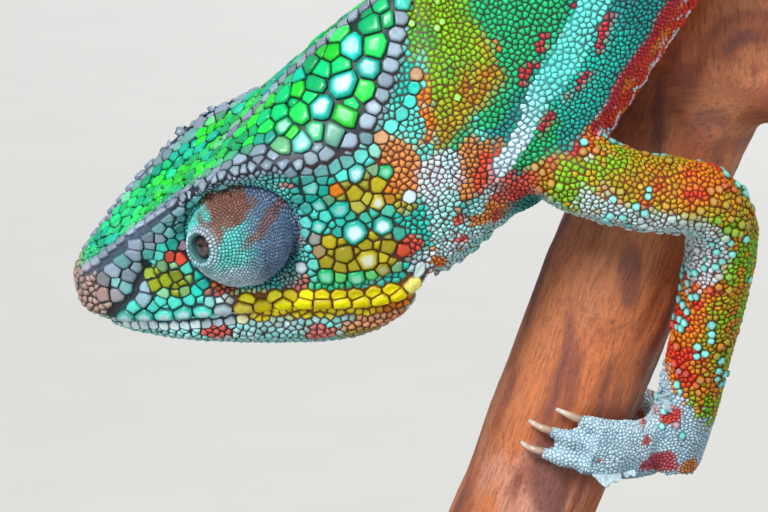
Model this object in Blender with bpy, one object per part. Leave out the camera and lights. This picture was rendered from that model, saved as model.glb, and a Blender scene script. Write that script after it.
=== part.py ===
"""Panther chameleon (Furcifer pardalis), a still, life-size model of an adult male.

It climbs head first down a short length of branch, which a rod holds over a flat stand.
The world is in metres with +Z up and the origin at the middle of the stand's underside.
Sizes below are in millimetres and are scaled by MM when a mesh is made.
The head points to -X and its left side to -Y.
"""

import math

import bmesh
import bpy
import numpy as np
from mathutils import Vector

MM = 0.001
GAP = 0.3  # clearance between neighbouring pieces

# Stand ---------------------------------------------------------------------------------
BASE_SIZE = (200.0, 112.0, 12.0)
BASE_CORNER = 16.0
BASE_EDGE = 1.6
BASE_CORNER_STEPS = 4
BASE_EDGE_STEPS = 2
ROD_RADIUS = 4.0
COLLAR_RADIUS = 8.5
COLLAR_HEIGHT = 3.0
ROUND_SIDES = 24  # of the rod and its collar

# Branch: centre line from the sawn foot to the broken top, and its radius there ------------
BRANCH_LINE = [
    (-26.2, 11.0, 30.0),
    (-16.0, 11.0, 52.8),
    (-6.2, 11.0, 79.9),
    (2.6, 11.0, 101.8),
    (8.9, 11.0, 117.2),
    (20.5, 12.5, 137.0),
    (35.5, 14.0, 158.0),
    (52.0, 14.5, 178.5),
    (69.5, 14.0, 199.0),
    (87.0, 13.5, 220.5),
    (100.0, 13.0, 243.0),
]
BRANCH_RADIUS = [8.7, 9.1, 9.6, 9.5, 9.3, 8.8, 8.2, 7.8, 7.5, 7.1, 6.6]
BRANCH_SIDES = 14
BRANCH_STEPS = 20
STUB_AT = 3.38  # where the side twig leaves, as a place along BRANCH_LINE
STUB_RADIUS = 5.2
STUB_LENGTH = 15.0
STUB_HEADING = (1.0, -0.35, 0.0)
# share of the twig's length, and its radius there as a share of STUB_RADIUS
STUB_SWELLING = ((0.0, 1.3), (0.45, 1.12), (0.75, 1.0), (0.96, 0.95), (1.0, 0.8))
STUB_SIDES = 12

# Body: stations from the nape to the tail root, as belly point, back point and half width --
BODY = [
    ((-29.3, 1.1, 86.4), (-31.6, -6.5, 121.1), 9.6),
    ((-24.2, 0.0, 87.3), (-30.8, -5.5, 124.0), 10.2),
    ((-20.2, -1.0, 91.4), (-30.2, -4.5, 128.0), 11.0),
    ((-10.6, -2.0, 98.0), (-29.2, -3.5, 133.5), 12.0),
    ((-1.8, -2.0, 110.6), (-26.5, -3.0, 141.5), 12.6),
    ((4.5, -2.0, 120.5), (-21.8, -2.5, 151.0), 13.2),
    ((15.0, -2.0, 135.0), (-12.6, -2.0, 168.5), 13.8),
    ((26.0, -2.0, 149.5), (0.0, -2.0, 184.5), 14.0),
    ((36.5, -2.0, 163.0), (14.2, -2.0, 197.5), 13.2),
    ((45.0, -2.0, 176.0), (29.0, -1.5, 207.5), 11.4),
    ((51.5, -2.0, 188.5), (43.5, -1.5, 214.5), 9.0),
    ((58.6, -2.5, 200.0), (51.8, -2.0, 218.0), 7.2),
    ((64.4, -3.5, 208.2), (58.8, -3.0, 220.8), 6.2),
]
BACK_KEEL = 0.9  # how far the ridge of the back stands up
BODY_SIDES = 18
NECK_END, FRONT_END, MIDDLE_END, BODY_END = 2.0, 5.0, 8.0, 12.0
# stretches of the trunk: first and last station, and rings
TRUNK = {
    "trunk_front": (NECK_END, FRONT_END, 6),
    "trunk_middle": (FRONT_END, MIDDLE_END, 6),
    "trunk_rear": (MIDDLE_END, BODY_END, 8),
}
NECK_STEPS = 6
BODY_CUTTER_START, BODY_CUTTER_STEPS = 1.0, 22  # the space kept clear of the legs

# Tail: it leaves the body, then winds round the branch ----------------------------------
TAIL_ROOT_RADIUS = 6.0
TAIL_TIP_RADIUS = 1.1
TAIL_TURNS = 2.1
TAIL_END = 9.72  # place along BRANCH_LINE of the tip
TAIL_CLEAR = 0.5  # from the bark
TAIL_UNWIND = 0.22  # share of its length in which it closes on the bark
TAIL_ROOT_RINGS = 5  # rings that pass from the outline of the body to a round one
TAIL_PIECES = 6
TAIL_STEPS = 8  # rings in each piece
TAIL_SIDES = 10

# Head, in its own axes: x back from the snout, y out to the left, z up from the lips -------
HEAD_ORIGIN = (-72.5, 1.0, 79.0)
HEAD_PITCH = 12.0
HEAD_ROLL = 13.0
# place, lean of the section, lip height, lip half width, side half width, crest half width,
# crest height, height of the midline
HEAD_SECTIONS = [
    (-0.6, 0.00, 2.2, 0.9, 1.2, 1.5, 6.0, 6.4),
    (0.9, 0.00, 0.7, 2.2, 2.7, 3.1, 7.8, 8.2),
    (4.0, 0.00, 0.0, 3.9, 4.2, 5.2, 10.3, 10.0),
    (8.0, 0.00, 0.0, 5.7, 5.8, 7.2, 13.3, 12.5),
    (13.2, 0.00, 0.0, 7.5, 7.2, 9.2, 16.8, 15.4),
    (20.0, 0.00, 0.0, 9.0, 8.0, 10.7, 20.2, 19.0),
    (26.0, 0.04, -0.4, 9.8, 8.8, 11.8, 21.1, 23.5),
    (31.0, 0.06, -1.3, 10.2, 10.4, 12.3, 20.3, 28.0),
    (36.0, 0.09, -2.1, 10.3, 10.9, 11.6, 21.2, 31.9),
    (40.0, 0.10, -2.2, 10.0, 10.8, 9.8, 24.2, 34.5),
    (42.6, 0.11, -1.2, 9.6, 10.5, 6.3, 29.4, 35.9),
    (44.0, 0.115, 0.6, 9.2, 10.2, 3.0, 33.8, 36.6),
]
HEAD_STEPS = 13
NAPE_DROP = 1.6  # how far the nape starts below the tip of the casque
THROAT_DEPTH = 3.6  # how far it starts below the head's last section
# place, half width, height of the chin
JAW_SECTIONS = [
    (2.6, 1.8, -1.5),
    (6.5, 4.2, -3.2),
    (12.4, 6.6, -5.0),
    (19.7, 8.2, -6.7),
    (27.0, 9.0, -8.2),
    (33.0, 9.3, -8.7),
    (38.2, 9.2, -7.2),
    (41.6, 8.5, -4.4),
]
JAW_STEPS = 10
# half of the jaw's section, as shares of its half width and of its depth
JAW_HALF = (
    (0.0, 0.0),
    (0.95, 0.0),
    (1.0, 0.25),
    (0.94, 0.55),
    (0.72, 0.84),
    (0.36, 0.98),
    (0.0, 1.0),
)
EYE_CENTRE = (22.1, 8.8, 10.9)
EYE_RADIUS = 6.6
EYE_NOSE = 1.2  # how far the lid rises round its opening
EYE_NOSE_SPAN = 0.75  # how far from the opening the rise begins, in radians
LID_SIDES, LID_STEPS = 16, 6
LID_LIP = 0.7  # how far the rim lies outside the opening
LID_BACK = 0.12  # the dome stops this far from a full ball, in radians
OPENING_DEPTH = 2.4
OPENING_SIDES = 12
PUPIL_RADIUS = 1.6
GAZE_LEFT = (-0.68, -0.745, -0.03)  # world direction
GAZE_RIGHT = (-0.52, 0.84, 0.16)

# Legs: path points, each with its radius, from inside the body to the ankle ----------------
FORELEG_LEFT = [
    (-19.0, -5.0, 104.5, 6.0),
    (-10.8, -8.8, 99.8, 5.6),
    (-2.6, -8.4, 97.2, 5.1),
    (4.2, -6.6, 96.0, 5.1),
    (7.3, -3.2, 91.2, 5.0),
    (6.5, 0.8, 81.6, 4.7),
    (5.1, 3.4, 74.0, 4.5),
    (3.8, 5.8, 66.4, 4.4),
    (1.7, 8.4, 58.0, 4.4),
]
FORELEG_RIGHT = [
    (-17.0, 2.0, 107.0, 6.0),
    (-15.0, 9.0, 104.4, 5.3),
    (-12.8, 18.4, 100.4, 4.9),
    (-9.0, 27.4, 97.2, 4.9),
    (-2.6, 31.6, 97.6, 4.9),
    (3.4, 31.4, 103.8, 4.5),
    (8.6, 29.4, 111.4, 4.0),
    (12.4, 26.4, 118.6, 3.7),
    (14.0, 24.6, 124.6, 3.8),
]
HINDLEG_LEFT = [
    (42.0, -3.0, 194.0, 6.6),
    (40.2, -10.5, 187.6, 6.2),
    (38.2, -15.8, 179.6, 5.6),
    (38.8, -16.4, 170.4, 5.3),
    (43.6, -11.6, 163.0, 4.9),
    (50.2, -3.8, 157.4, 4.4),
    (53.6, 5.2, 156.4, 4.0),
    (53.4, 13.2, 158.0, 3.8),
]
HINDLEG_RIGHT = [
    (45.0, 0.0, 197.0, 6.4),
    (41.5, 8.4, 190.8, 5.8),
    (38.4, 17.0, 184.6, 5.3),
    (39.0, 24.8, 179.0, 5.0),
    (46.2, 28.4, 180.4, 4.8),
    (54.6, 29.0, 185.6, 4.3),
    (61.0, 27.4, 191.4, 3.8),
]
LEG_SIDES = 11
LEG_STEPS = 2  # rings for each path point
# each leg's path, the ring where the elbow or knee parts it, and its foot
LEGS = {
    "foreleg_left": (FORELEG_LEFT, 7, "forefoot_left"),
    "foreleg_right": (FORELEG_RIGHT, 7, "forefoot_right"),
    "hindleg_left": (HINDLEG_LEFT, 6, "hindfoot_left"),
    "hindleg_right": (HINDLEG_RIGHT, 7, "hindfoot_right"),
}
LEG_PIECES = {"fore": ("leg_upper", "leg_lower"), "hind": ("leg_thigh", "leg_shank")}

# Feet: place along the branch, angle of the palm round it, angles spanned on each side,
# how far along the branch the toes swing, and number of toes on each side ------------------
FEET = {
    "forefoot_left": (1.435, 100.0, 84.0, 66.0, -1.2, 3, 2),
    "forefoot_right": (4.36, 180.0, 56.0, 50.0, -1.0, 2, 3),
    "hindfoot_left": (6.42, 104.0, 48.0, 66.0, -1.6, 2, 3),
    "hindfoot_right": (7.78, 168.0, 62.0, 60.0, -1.0, 3, 2),
}
PALM_WIDTH, PALM_THICK = 4.6, 2.9  # half sizes at the palm
MITT_WIDTH, MITT_THICK = 4.2, 2.2  # half sizes where the toes part
FOOT_STEPS = 5  # rings on each side of the palm
FOOT_SIDES = 8
FOOT_LIFT = 0.15  # of a foot's sole from the bark, beyond the clearance
TOE_RADIUS = 1.25
TOE_LIFT = 0.35
TOE_ROOT = 3.0  # how far a toe reaches back into the mitt
TOE_SIDES = 8
TOE_SWELLING = (0.96, 1.0, 1.02, 0.66)  # share of TOE_RADIUS along a toe
TOE_LENGTHS = {2: (4.8, 4.0), 3: (5.2, 5.2, 2.2)}
TOE_PITCH = 2.65
TOE_SPREAD = 0.025  # how much the pitch grows for each millimetre
CLAW_LENGTH = 3.2
CLAW_STEPS, CLAW_SIDES = 3, 6
CLAW_RADIUS = 0.62
CLAW_TIP_RADIUS = 0.25

COLOURS = {
    "skin_green": ((0.16, 0.45, 0.20), 0.55, 0.0),
    "skin_head": ((0.10, 0.62, 0.40), 0.5, 0.0),
    "skin_foot": ((0.55, 0.66, 0.74), 0.6, 0.0),
    "lid": ((0.22, 0.42, 0.50), 0.55, 0.0),
    "eyeball": ((0.02, 0.015, 0.015), 0.1, 0.0),
    "claw": ((0.62, 0.46, 0.38), 0.35, 0.0),
    "wood": ((0.42, 0.20, 0.10), 0.6, 0.0),
    "stand": ((0.05, 0.05, 0.055), 0.5, 0.0),
    "steel": ((0.6, 0.6, 0.62), 0.3, 1.0),
}


# Helpers -----------------------------------------------------------------------------------
def clear_scene():
    for obj in list(bpy.data.objects):
        bpy.data.objects.remove(obj)


def new_collection(name, hidden=False):
    collection = bpy.data.collections.new(name)
    bpy.context.scene.collection.children.link(collection)
    collection.hide_render = hidden
    return collection


def new_material(name):
    colour, roughness, metallic = COLOURS[name]
    material = bpy.data.materials.new(name)
    material.use_nodes = True
    shader = material.node_tree.nodes["Principled BSDF"]
    shader.inputs["Base Color"].default_value = (*colour, 1.0)
    shader.inputs["Roughness"].default_value = roughness
    shader.inputs["Metallic"].default_value = metallic
    material.diffuse_color = (*colour, 1.0)
    return material


def along(rows, place):
    """A row of numbers read from a smooth curve through rows, at place 0 to len(rows) - 1."""
    table = np.asarray(rows, float)
    last = len(table) - 1
    i = int(min(max(math.floor(place), 0), last - 1))
    f = place - i
    before = table[i - 1] if i > 0 else 2 * table[0] - table[1]
    after = table[i + 2] if i + 2 <= last else 2 * table[last] - table[last - 1]
    a, b = table[i], table[i + 1]
    return 0.5 * (
        2 * a
        + (b - before) * f
        + (2 * before - 5 * a + 4 * b - after) * f**2
        + (3 * a - before - 3 * b + after) * f**3
    )


def unit(vector):
    vector = np.asarray(vector, float)
    return vector / np.linalg.norm(vector)


def loft(name, rings, material, collection):
    """A closed piece through rings of equally many points, with a flat cap at each end."""
    mesh = bpy.data.meshes.new(name)
    bm = bmesh.new()
    rows = [[bm.verts.new(Vector(p) * MM) for p in ring] for ring in rings]
    sides = len(rows[0])
    for low, high in zip(rows, rows[1:]):
        for k in range(sides):
            following = (k + 1) % sides
            bm.faces.new((low[k], low[following], high[following], high[k]))
    bm.faces.new(rows[0][::-1])
    bm.faces.new(rows[-1])
    bmesh.ops.recalc_face_normals(bm, faces=bm.faces)
    caps = [face for face in bm.faces if len(face.verts) == sides and sides > 4]
    bmesh.ops.triangulate(bm, faces=caps, ngon_method="EAR_CLIP")
    bm.to_mesh(mesh)
    bm.free()
    return add_object(name, mesh, material, collection)


def add_object(name, mesh, material, collection):
    mesh.materials.append(material)
    mesh.shade_smooth()
    mesh.set_sharp_from_angle(angle=math.radians(50))
    obj = bpy.data.objects.new(name, mesh)
    collection.objects.link(obj)
    return obj


def boolean(obj, other, operation):
    modifier = obj.modifiers.new(operation.lower(), "BOOLEAN")
    modifier.operation = operation
    modifier.object = other
    modifier.solver = "EXACT"


def as_helper(obj):
    obj.hide_render = True
    obj.display_type = "WIRE"
    return obj


def oval(centre, out, up, sides):
    """Points round an ellipse with the half axes out and up."""
    angles = 2 * math.pi * np.arange(sides) / sides
    return [centre + math.sin(a) * out + math.cos(a) * up for a in angles]


def tube_rings(path, radii, sides, first_up):
    """Rings round a path, whose frame is carried along with no twist."""
    path = [np.asarray(p, float) for p in path]
    rings = []
    up = unit(first_up)
    for i, point in enumerate(path):
        ahead = path[min(i + 1, len(path) - 1)]
        behind = path[max(i - 1, 0)]
        tangent = unit(ahead - behind)
        up = unit(up - tangent * np.dot(up, tangent))
        out = np.cross(tangent, up)
        rings.append(oval(point, out * radii[i], up * radii[i], sides))
    return rings


# Branch and stand ----------------------------------------------------------------------------
def branch_frame(place):
    """(centre, tangent, towards the animal's left, underside, radius) of the branch."""
    centre = along(BRANCH_LINE, place)
    tangent = unit(along(BRANCH_LINE, place + 0.02) - along(BRANCH_LINE, place - 0.02))
    left = np.array((0.0, -1.0, 0.0))
    left = unit(left - tangent * np.dot(left, tangent))
    under = np.cross(left, tangent)
    if under[0] < 0:
        under = -under
    return centre, tangent, left, under, branch_radius(place)


def branch_radius(place):
    return float(along([(r,) for r in BRANCH_RADIUS], place)[0])


def round_branch(place, angle, distance):
    """A point at an angle in degrees round the branch, at a distance from its centre line."""
    centre, _, left, under, _ = branch_frame(place)
    a = math.radians(angle)
    return centre + distance * (math.cos(a) * left + math.sin(a) * under)


def branch_ring(place):
    centre, _, left, under, radius = branch_frame(place)
    return oval(centre, under * radius, left * radius, BRANCH_SIDES)


def make_branch(parts, helpers, wood):
    last = len(BRANCH_LINE) - 1
    places = [last * i / BRANCH_STEPS for i in range(BRANCH_STEPS + 1)]
    rings = [branch_ring(p) for p in places]
    foot = BRANCH_LINE[0][2]
    rings[0] = [np.array((p[0], p[1], foot)) for p in rings[0]]
    branch = loft("branch", rings, wood, parts)
    start = branch_frame(STUB_AT)[0]
    heading = unit(STUB_HEADING)
    full = branch_radius(STUB_AT) + STUB_LENGTH
    path = [start + heading * full * share for share, _ in STUB_SWELLING]
    radii = [STUB_RADIUS * swelling for _, swelling in STUB_SWELLING]
    rings = tube_rings(path, radii, STUB_SIDES, (0, 0, 1))
    stub = as_helper(loft("branch_stub_shape", rings, wood, helpers))
    boolean(branch, stub, "UNION")
    return branch


def make_stand(parts, stand, steel):
    height = BASE_SIZE[2]
    bm = bmesh.new()
    bmesh.ops.create_cube(bm, size=1.0)
    bmesh.ops.scale(bm, vec=Vector(BASE_SIZE) * MM, verts=bm.verts)
    bmesh.ops.translate(bm, vec=(0, 0, height / 2 * MM), verts=bm.verts)
    upright = [e for e in bm.edges if abs(e.verts[0].co.z - e.verts[1].co.z) > MM]
    round_edges(bm, upright, BASE_CORNER, BASE_CORNER_STEPS)
    rim = [e for e in bm.edges if all(abs(v.co.z - height * MM) < 1e-7 for v in e.verts)]
    round_edges(bm, rim, BASE_EDGE, BASE_EDGE_STEPS)
    mesh = bpy.data.meshes.new("stand_base")
    bm.to_mesh(mesh)
    bm.free()
    add_object("stand_base", mesh, stand, parts)
    x, y, foot = BRANCH_LINE[0]
    rod_bottom = height + COLLAR_HEIGHT + 2 * GAP
    turned("stand_collar", (x, y), height + GAP, COLLAR_HEIGHT, COLLAR_RADIUS, steel, parts)
    turned("stand_rod", (x, y), rod_bottom, foot - GAP - rod_bottom, ROD_RADIUS, steel, parts)


def round_edges(bm, edges, radius, steps):
    bmesh.ops.bevel(
        bm, geom=edges, offset=radius * MM, segments=steps, affect="EDGES", profile=0.5
    )


def turned(name, place, bottom, height, radius, material, collection):
    """A round piece standing at place."""
    bm = bmesh.new()
    bmesh.ops.create_cone(
        bm,
        cap_ends=True,
        segments=ROUND_SIDES,
        radius1=radius * MM,
        radius2=radius * MM,
        depth=height * MM,
    )
    middle = Vector((place[0], place[1], bottom + height / 2)) * MM
    bmesh.ops.translate(bm, vec=middle, verts=bm.verts)
    mesh = bpy.data.meshes.new(name)
    bm.to_mesh(mesh)
    bm.free()
    add_object(name, mesh, material, collection)


# Head ----------------------------------------------------------------------------------------
def head_axes():
    pitch, roll = math.radians(HEAD_PITCH), math.radians(HEAD_ROLL)
    back = np.array((math.cos(pitch), 0.0, math.sin(pitch)))
    level_up = np.array((-math.sin(pitch), 0.0, math.cos(pitch)))
    level_left = np.array((0.0, -1.0, 0.0))
    left = math.cos(roll) * level_left - math.sin(roll) * level_up
    up = math.cos(roll) * level_up + math.sin(roll) * level_left
    return back, left, up


def head_point(x, y, z):
    back, left, up = head_axes()
    return np.array(HEAD_ORIGIN) + back * x + left * y + up * z


def head_half(row):
    """Half of a section, from the palate round the lip, side and crest to the midline."""
    _, _, lip_z, lip, side, crest, crest_z, top = row
    flank = [
        (lip, 0.0),
        (lip + 0.35, 0.10),
        (side + 0.55, 0.24),
        (side + 0.35, 0.44),
        (side + 0.10, 0.64),
        (0.5 * (side + crest), 0.82),
        (0.97 * crest, 0.955),
    ]
    roof = [(0.97, 0.0), (0.80, 0.30), (0.52, 0.71), (0.24, 0.94), (0.0, 1.0)]
    half = [(0.0, lip_z), (0.62 * lip, lip_z)]
    half += [(y, lip_z + f * (crest_z - lip_z)) for y, f in flank]
    half += [(share * crest, crest_z + 0.1 + f * (top - crest_z)) for share, f in roof]
    return half


def head_outline(row):
    place, lean = row[:2]
    half = head_half(row)
    mirrored = [(-y, z) for y, z in half[-2:0:-1]]
    return [head_point(place + lean * z, y, z) for y, z in half + mirrored]


def head_rear_ring(sides, behind=0.0):
    """The end of the head with the throat added below, read at equal steps of its outline
    from the top round the left side."""
    place, lean = HEAD_SECTIONS[-1][:2]
    half = head_half(HEAD_SECTIONS[-1])[2:]
    half[-1] = (0.0, half[-1][1] - NAPE_DROP)
    half[-2] = (half[-2][0], half[-2][1] - 0.8 * NAPE_DROP)
    low = half[0][1]
    below = [(0.0, 1.0), (0.45, 0.93), (0.80, 0.62)]
    half = [(y * half[0][0], low - f * THROAT_DEPTH) for y, f in below] + half
    line = np.array(half[::-1])
    steps = np.linalg.norm(np.diff(line, axis=0), axis=1)
    travelled = np.concatenate([[0.0], np.cumsum(steps)])
    wanted = np.linspace(0, travelled[-1], sides // 2 + 1)
    left = list(zip(*(np.interp(wanted, travelled, line[:, k]) for k in (0, 1))))
    around = left + [(-y, z) for y, z in left[-2:0:-1]]
    return [head_point(place + lean * z + behind, y, z) for y, z in around]


def lip_height(x):
    places = [row[0] for row in HEAD_SECTIONS]
    return float(np.interp(x, places[2:], [row[2] for row in HEAD_SECTIONS[2:]]))


def make_head(parts, helpers, head_skin, lid, eyeball):
    last = len(HEAD_SECTIONS) - 1
    places = [last * i / HEAD_STEPS for i in range(HEAD_STEPS + 1)]
    head = loft("head", [head_outline(along(HEAD_SECTIONS, p)) for p in places], head_skin, parts)
    for side, gaze in (("left", GAZE_LEFT), ("right", GAZE_RIGHT)):
        sign = 1 if side == "left" else -1
        x, y, z = EYE_CENTRE
        centre = head_point(x, sign * y, z)
        space = EYE_RADIUS + GAP
        socket = as_helper(ball(f"socket_{side}", centre, space, head_skin, helpers, 16, 10))
        boolean(head, socket, "DIFFERENCE")
        make_eye(side, centre, unit(gaze), lid, eyeball, parts, helpers)
    make_jaw(parts, head_skin)


def ball(name, centre, radius, material, collection, segments, rings):
    bm = bmesh.new()
    bmesh.ops.create_uvsphere(bm, u_segments=segments, v_segments=rings, radius=radius * MM)
    bmesh.ops.translate(bm, vec=Vector(centre) * MM, verts=bm.verts)
    mesh = bpy.data.meshes.new(name)
    bm.to_mesh(mesh)
    bm.free()
    return add_object(name, mesh, material, collection)


def make_eye(side, centre, gaze, lid, eyeball, parts, helpers):
    """The lids are one scaly dome, turned about the gaze, with a small round opening."""
    start = math.asin((PUPIL_RADIUS + LID_LIP) / (EYE_RADIUS + EYE_NOSE))
    profile = []
    for i in range(LID_STEPS + 1):
        angle = start + (math.pi - LID_BACK - start) * i / LID_STEPS
        nose = EYE_NOSE * max(0.0, 1 - (angle - start) / EYE_NOSE_SPAN) ** 2
        radius = EYE_RADIUS + nose
        profile.append((radius * math.cos(angle), radius * math.sin(angle)))
    across = unit(np.cross(gaze, (0, 0, 1)))
    over = np.cross(across, gaze)
    rings = [oval(centre + gaze * h, across * r, over * r, LID_SIDES) for h, r in profile[::-1]]
    dome = loft(f"eyelid_{side}", rings, lid, parts)
    mouth = profile[0][0]
    floor = mouth - OPENING_DEPTH
    path = [centre + gaze * h for h in (floor, mouth + OPENING_DEPTH)]
    rings = tube_rings(path, [PUPIL_RADIUS, PUPIL_RADIUS], OPENING_SIDES, over)
    hole = as_helper(loft(f"lid_hole_{side}", rings, lid, helpers))
    boolean(dome, hole, "DIFFERENCE")
    plug_radius = PUPIL_RADIUS - GAP
    plug = centre + gaze * (floor + GAP + plug_radius)
    ball(f"eyeball_{side}", plug, plug_radius, eyeball, parts, 10, 6)


def make_jaw(parts, head_skin):
    last = len(JAW_SECTIONS) - 1
    rings = []
    for i in range(JAW_STEPS + 1):
        place, width, chin = along(JAW_SECTIONS, last * i / JAW_STEPS)
        top = lip_height(place) - GAP
        half = [(y * width, top + f * (chin - top)) for y, f in JAW_HALF]
        mirrored = [(-y, z) for y, z in half[-2:0:-1]]
        rings.append([head_point(place, y, z) for y, z in half + mirrored])
    loft("lower_jaw", rings, head_skin, parts)


# Body and tail -----------------------------------------------------------------------------
def body_ring(place, grow=0.0, sides=BODY_SIDES):
    rows = [(*belly, *back, width) for belly, back, width in BODY]
    numbers = along(rows, place)
    belly, back, width = numbers[:3], numbers[3:6], numbers[6]
    centre, up = (belly + back) / 2, (back - belly) / 2
    half_depth = np.linalg.norm(up)
    up = up / half_depth
    ahead = along(rows, min(place + 0.05, BODY_END))
    behind = along(rows, max(place - 0.05, 0.0))
    heading = (ahead[:3] + ahead[3:6]) - (behind[:3] + behind[3:6])
    left = unit(np.cross(up, unit(heading)))
    if left[1] > 0:
        left = -left
    ring = []
    for k in range(sides):
        angle = 2 * math.pi * k / sides
        high, wide = math.cos(angle), math.sin(angle)
        keel = BACK_KEEL * max(0.0, high) ** 40
        taper = 1.0 - 0.16 * high - 0.05 * high**2
        reach = (width + grow) * wide * taper
        rise = (half_depth + grow) * high + keel
        ring.append(centre + left * reach + up * rise)
    return ring


def body_piece(name, start, end, steps, material, collection, grow=0.0, gap=True):
    length = np.linalg.norm(ring_centre(end) - ring_centre(start)) / (end - start)
    trim = 0.5 * GAP / length if gap else 0.0
    start, end = start + trim, end - trim
    places = [start + (end - start) * i / steps for i in range(steps + 1)]
    return loft(name, [body_ring(p, grow) for p in places], material, collection)


def neck_rings(steps):
    """Rings that go from the outline of the head's end to the body's."""
    start = np.array(head_rear_ring(BODY_SIDES, behind=GAP))
    rings = []
    for i in range(steps + 1):
        f = i / steps
        place = NECK_END * f
        share = (1 - f) ** 2 * (1 + 2 * f)
        moved = start + ring_centre(place) - ring_centre(0.0)
        rings.append(share * moved + (1 - share) * np.array(body_ring(place)))
    length = np.linalg.norm(ring_centre(NECK_END) - ring_centre(NECK_END - 0.5)) / 0.5
    rings[-1] = np.array(body_ring(NECK_END - 0.5 * GAP / length))
    return rings


def ring_centre(place):
    rows = [(*belly, *back) for belly, back, _ in BODY]
    numbers = along(rows, place)
    return (numbers[:3] + numbers[3:]) / 2


def tail_points(count):
    """Points down the middle of the tail, each with its radius. It starts in line with the
    body, closes on the branch and winds round it, tighter and tighter."""
    start = ring_centre(BODY_END)
    places = np.linspace(7.5, 9.0, 151)
    spans = [np.linalg.norm(branch_frame(p)[0] - start) for p in places]
    first_place = places[int(np.argmin(spans))]
    centre, _, left, under, radius = branch_frame(first_place)
    offset = start - centre
    first_angle = math.degrees(math.atan2(np.dot(offset, under), np.dot(offset, left)))
    excess = min(spans) - radius - TAIL_ROOT_RADIUS - TAIL_CLEAR
    line = []
    for f in np.linspace(0.0, 1.0, 161):
        place = first_place + (TAIL_END - first_place) * f**0.7
        angle = first_angle + 360 * TAIL_TURNS * f**1.3
        distance = branch_radius(place) + tail_radius(f) + TAIL_CLEAR
        distance += excess * max(0.0, 1 - f / TAIL_UNWIND) ** 2
        line.append(round_branch(place, angle, distance))
    steps = np.linalg.norm(np.diff(line, axis=0), axis=1)
    travelled = np.concatenate([[0.0], np.cumsum(steps)])
    wanted = np.linspace(0, travelled[-1], count)
    points = np.stack([np.interp(wanted, travelled, np.array(line)[:, k]) for k in range(3)], 1)
    return points, [tail_radius(w / travelled[-1]) for w in wanted]


def tail_radius(share):
    return TAIL_ROOT_RADIUS + (TAIL_TIP_RADIUS - TAIL_ROOT_RADIUS) * share**0.85


def make_tail(parts, skin):
    points, radii = tail_points(TAIL_PIECES * TAIL_STEPS + 1)
    spacing = np.linalg.norm(points[1] - points[0])
    up = unit(np.array(BODY[-1][1]) - np.array(BODY[-1][0]))
    rings = tube_rings(points, radii, TAIL_SIDES, up)
    root = np.array(body_ring(BODY_END, sides=TAIL_SIDES)) - ring_centre(BODY_END)
    for n in range(TAIL_ROOT_RINGS):
        share = (1 - n / TAIL_ROOT_RINGS) ** 2
        rings[n] = (1 - share) * np.array(rings[n]) + share * (points[n] + root)
    trim = 0.5 * GAP / spacing
    for n in range(TAIL_PIECES):
        chosen = [np.array(r) for r in rings[n * TAIL_STEPS : (n + 1) * TAIL_STEPS + 1]]
        first, final = chosen[0], chosen[-1]
        chosen[0] = first + (chosen[1] - first) * trim
        if n < TAIL_PIECES - 1:
            chosen[-1] = final + (chosen[-2] - final) * trim
        loft(f"tail_{n + 1}", chosen, skin, parts)


def make_body(parts, helpers, skin):
    loft("neck", neck_rings(NECK_STEPS), skin, parts)
    for name, (start, end, steps) in TRUNK.items():
        body_piece(name, start, end, steps, skin, parts)
    start, steps = BODY_CUTTER_START, BODY_CUTTER_STEPS
    grown = body_piece("body_cutter", start, BODY_END, steps, skin, helpers, grow=GAP, gap=False)
    return as_helper(grown)


# Legs and feet ------------------------------------------------------------------------------
def make_leg(name, rows, cut, body_cutter, foot_cutter, skin, parts):
    """A bent tube from the body to the foot, parted at the elbow or knee."""
    steps = LEG_STEPS * (len(rows) - 1)
    numbers = [along(rows, (len(rows) - 1) * i / steps) for i in range(steps + 1)]
    path, radii = [n[:3] for n in numbers], [n[3] for n in numbers]
    rings = tube_rings(path, radii, LEG_SIDES, (0.0, -1.0, 0.3))
    upper = [np.array(r) for r in rings[: cut + 1]]
    lower = [np.array(r) for r in rings[cut:]]
    spacing = np.linalg.norm(path[cut] - path[cut - 1])
    upper[-1] += (upper[-2] - upper[-1]) * (0.5 * GAP / spacing)
    spacing = np.linalg.norm(path[cut + 1] - path[cut])
    lower[0] += (lower[1] - lower[0]) * (0.5 * GAP / spacing)
    upper_name, lower_name = LEG_PIECES[name[:4]]
    upper_leg = loft(name.replace("leg", upper_name), upper, skin, parts)
    lower_leg = loft(name.replace("leg", lower_name), lower, skin, parts)
    boolean(upper_leg, body_cutter, "DIFFERENCE")
    boolean(lower_leg, foot_cutter, "DIFFERENCE")


def foot_path(spec, side_span, count):
    """Places and angles from the palm to the end of one side of the foot."""
    place, palm_angle, _, _, swing, _, _ = spec
    step = 0.02
    ahead, behind = along(BRANCH_LINE, place + step), along(BRANCH_LINE, place - step)
    scale = np.linalg.norm(ahead - behind) / (2 * step)
    found = []
    for i in range(count):
        f = i / (count - 1)
        found.append((place + swing * f / scale, palm_angle + side_span * f))
    return found


def mitt_sizes(f):
    """Half width and half thickness of a foot, from the palm at 0 to the toes' parting at 1."""
    ease = f * f * (3 - 2 * f)
    width = PALM_WIDTH + (MITT_WIDTH - PALM_WIDTH) * ease
    thick = PALM_THICK + (MITT_THICK - PALM_THICK) * ease
    return width, thick


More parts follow.
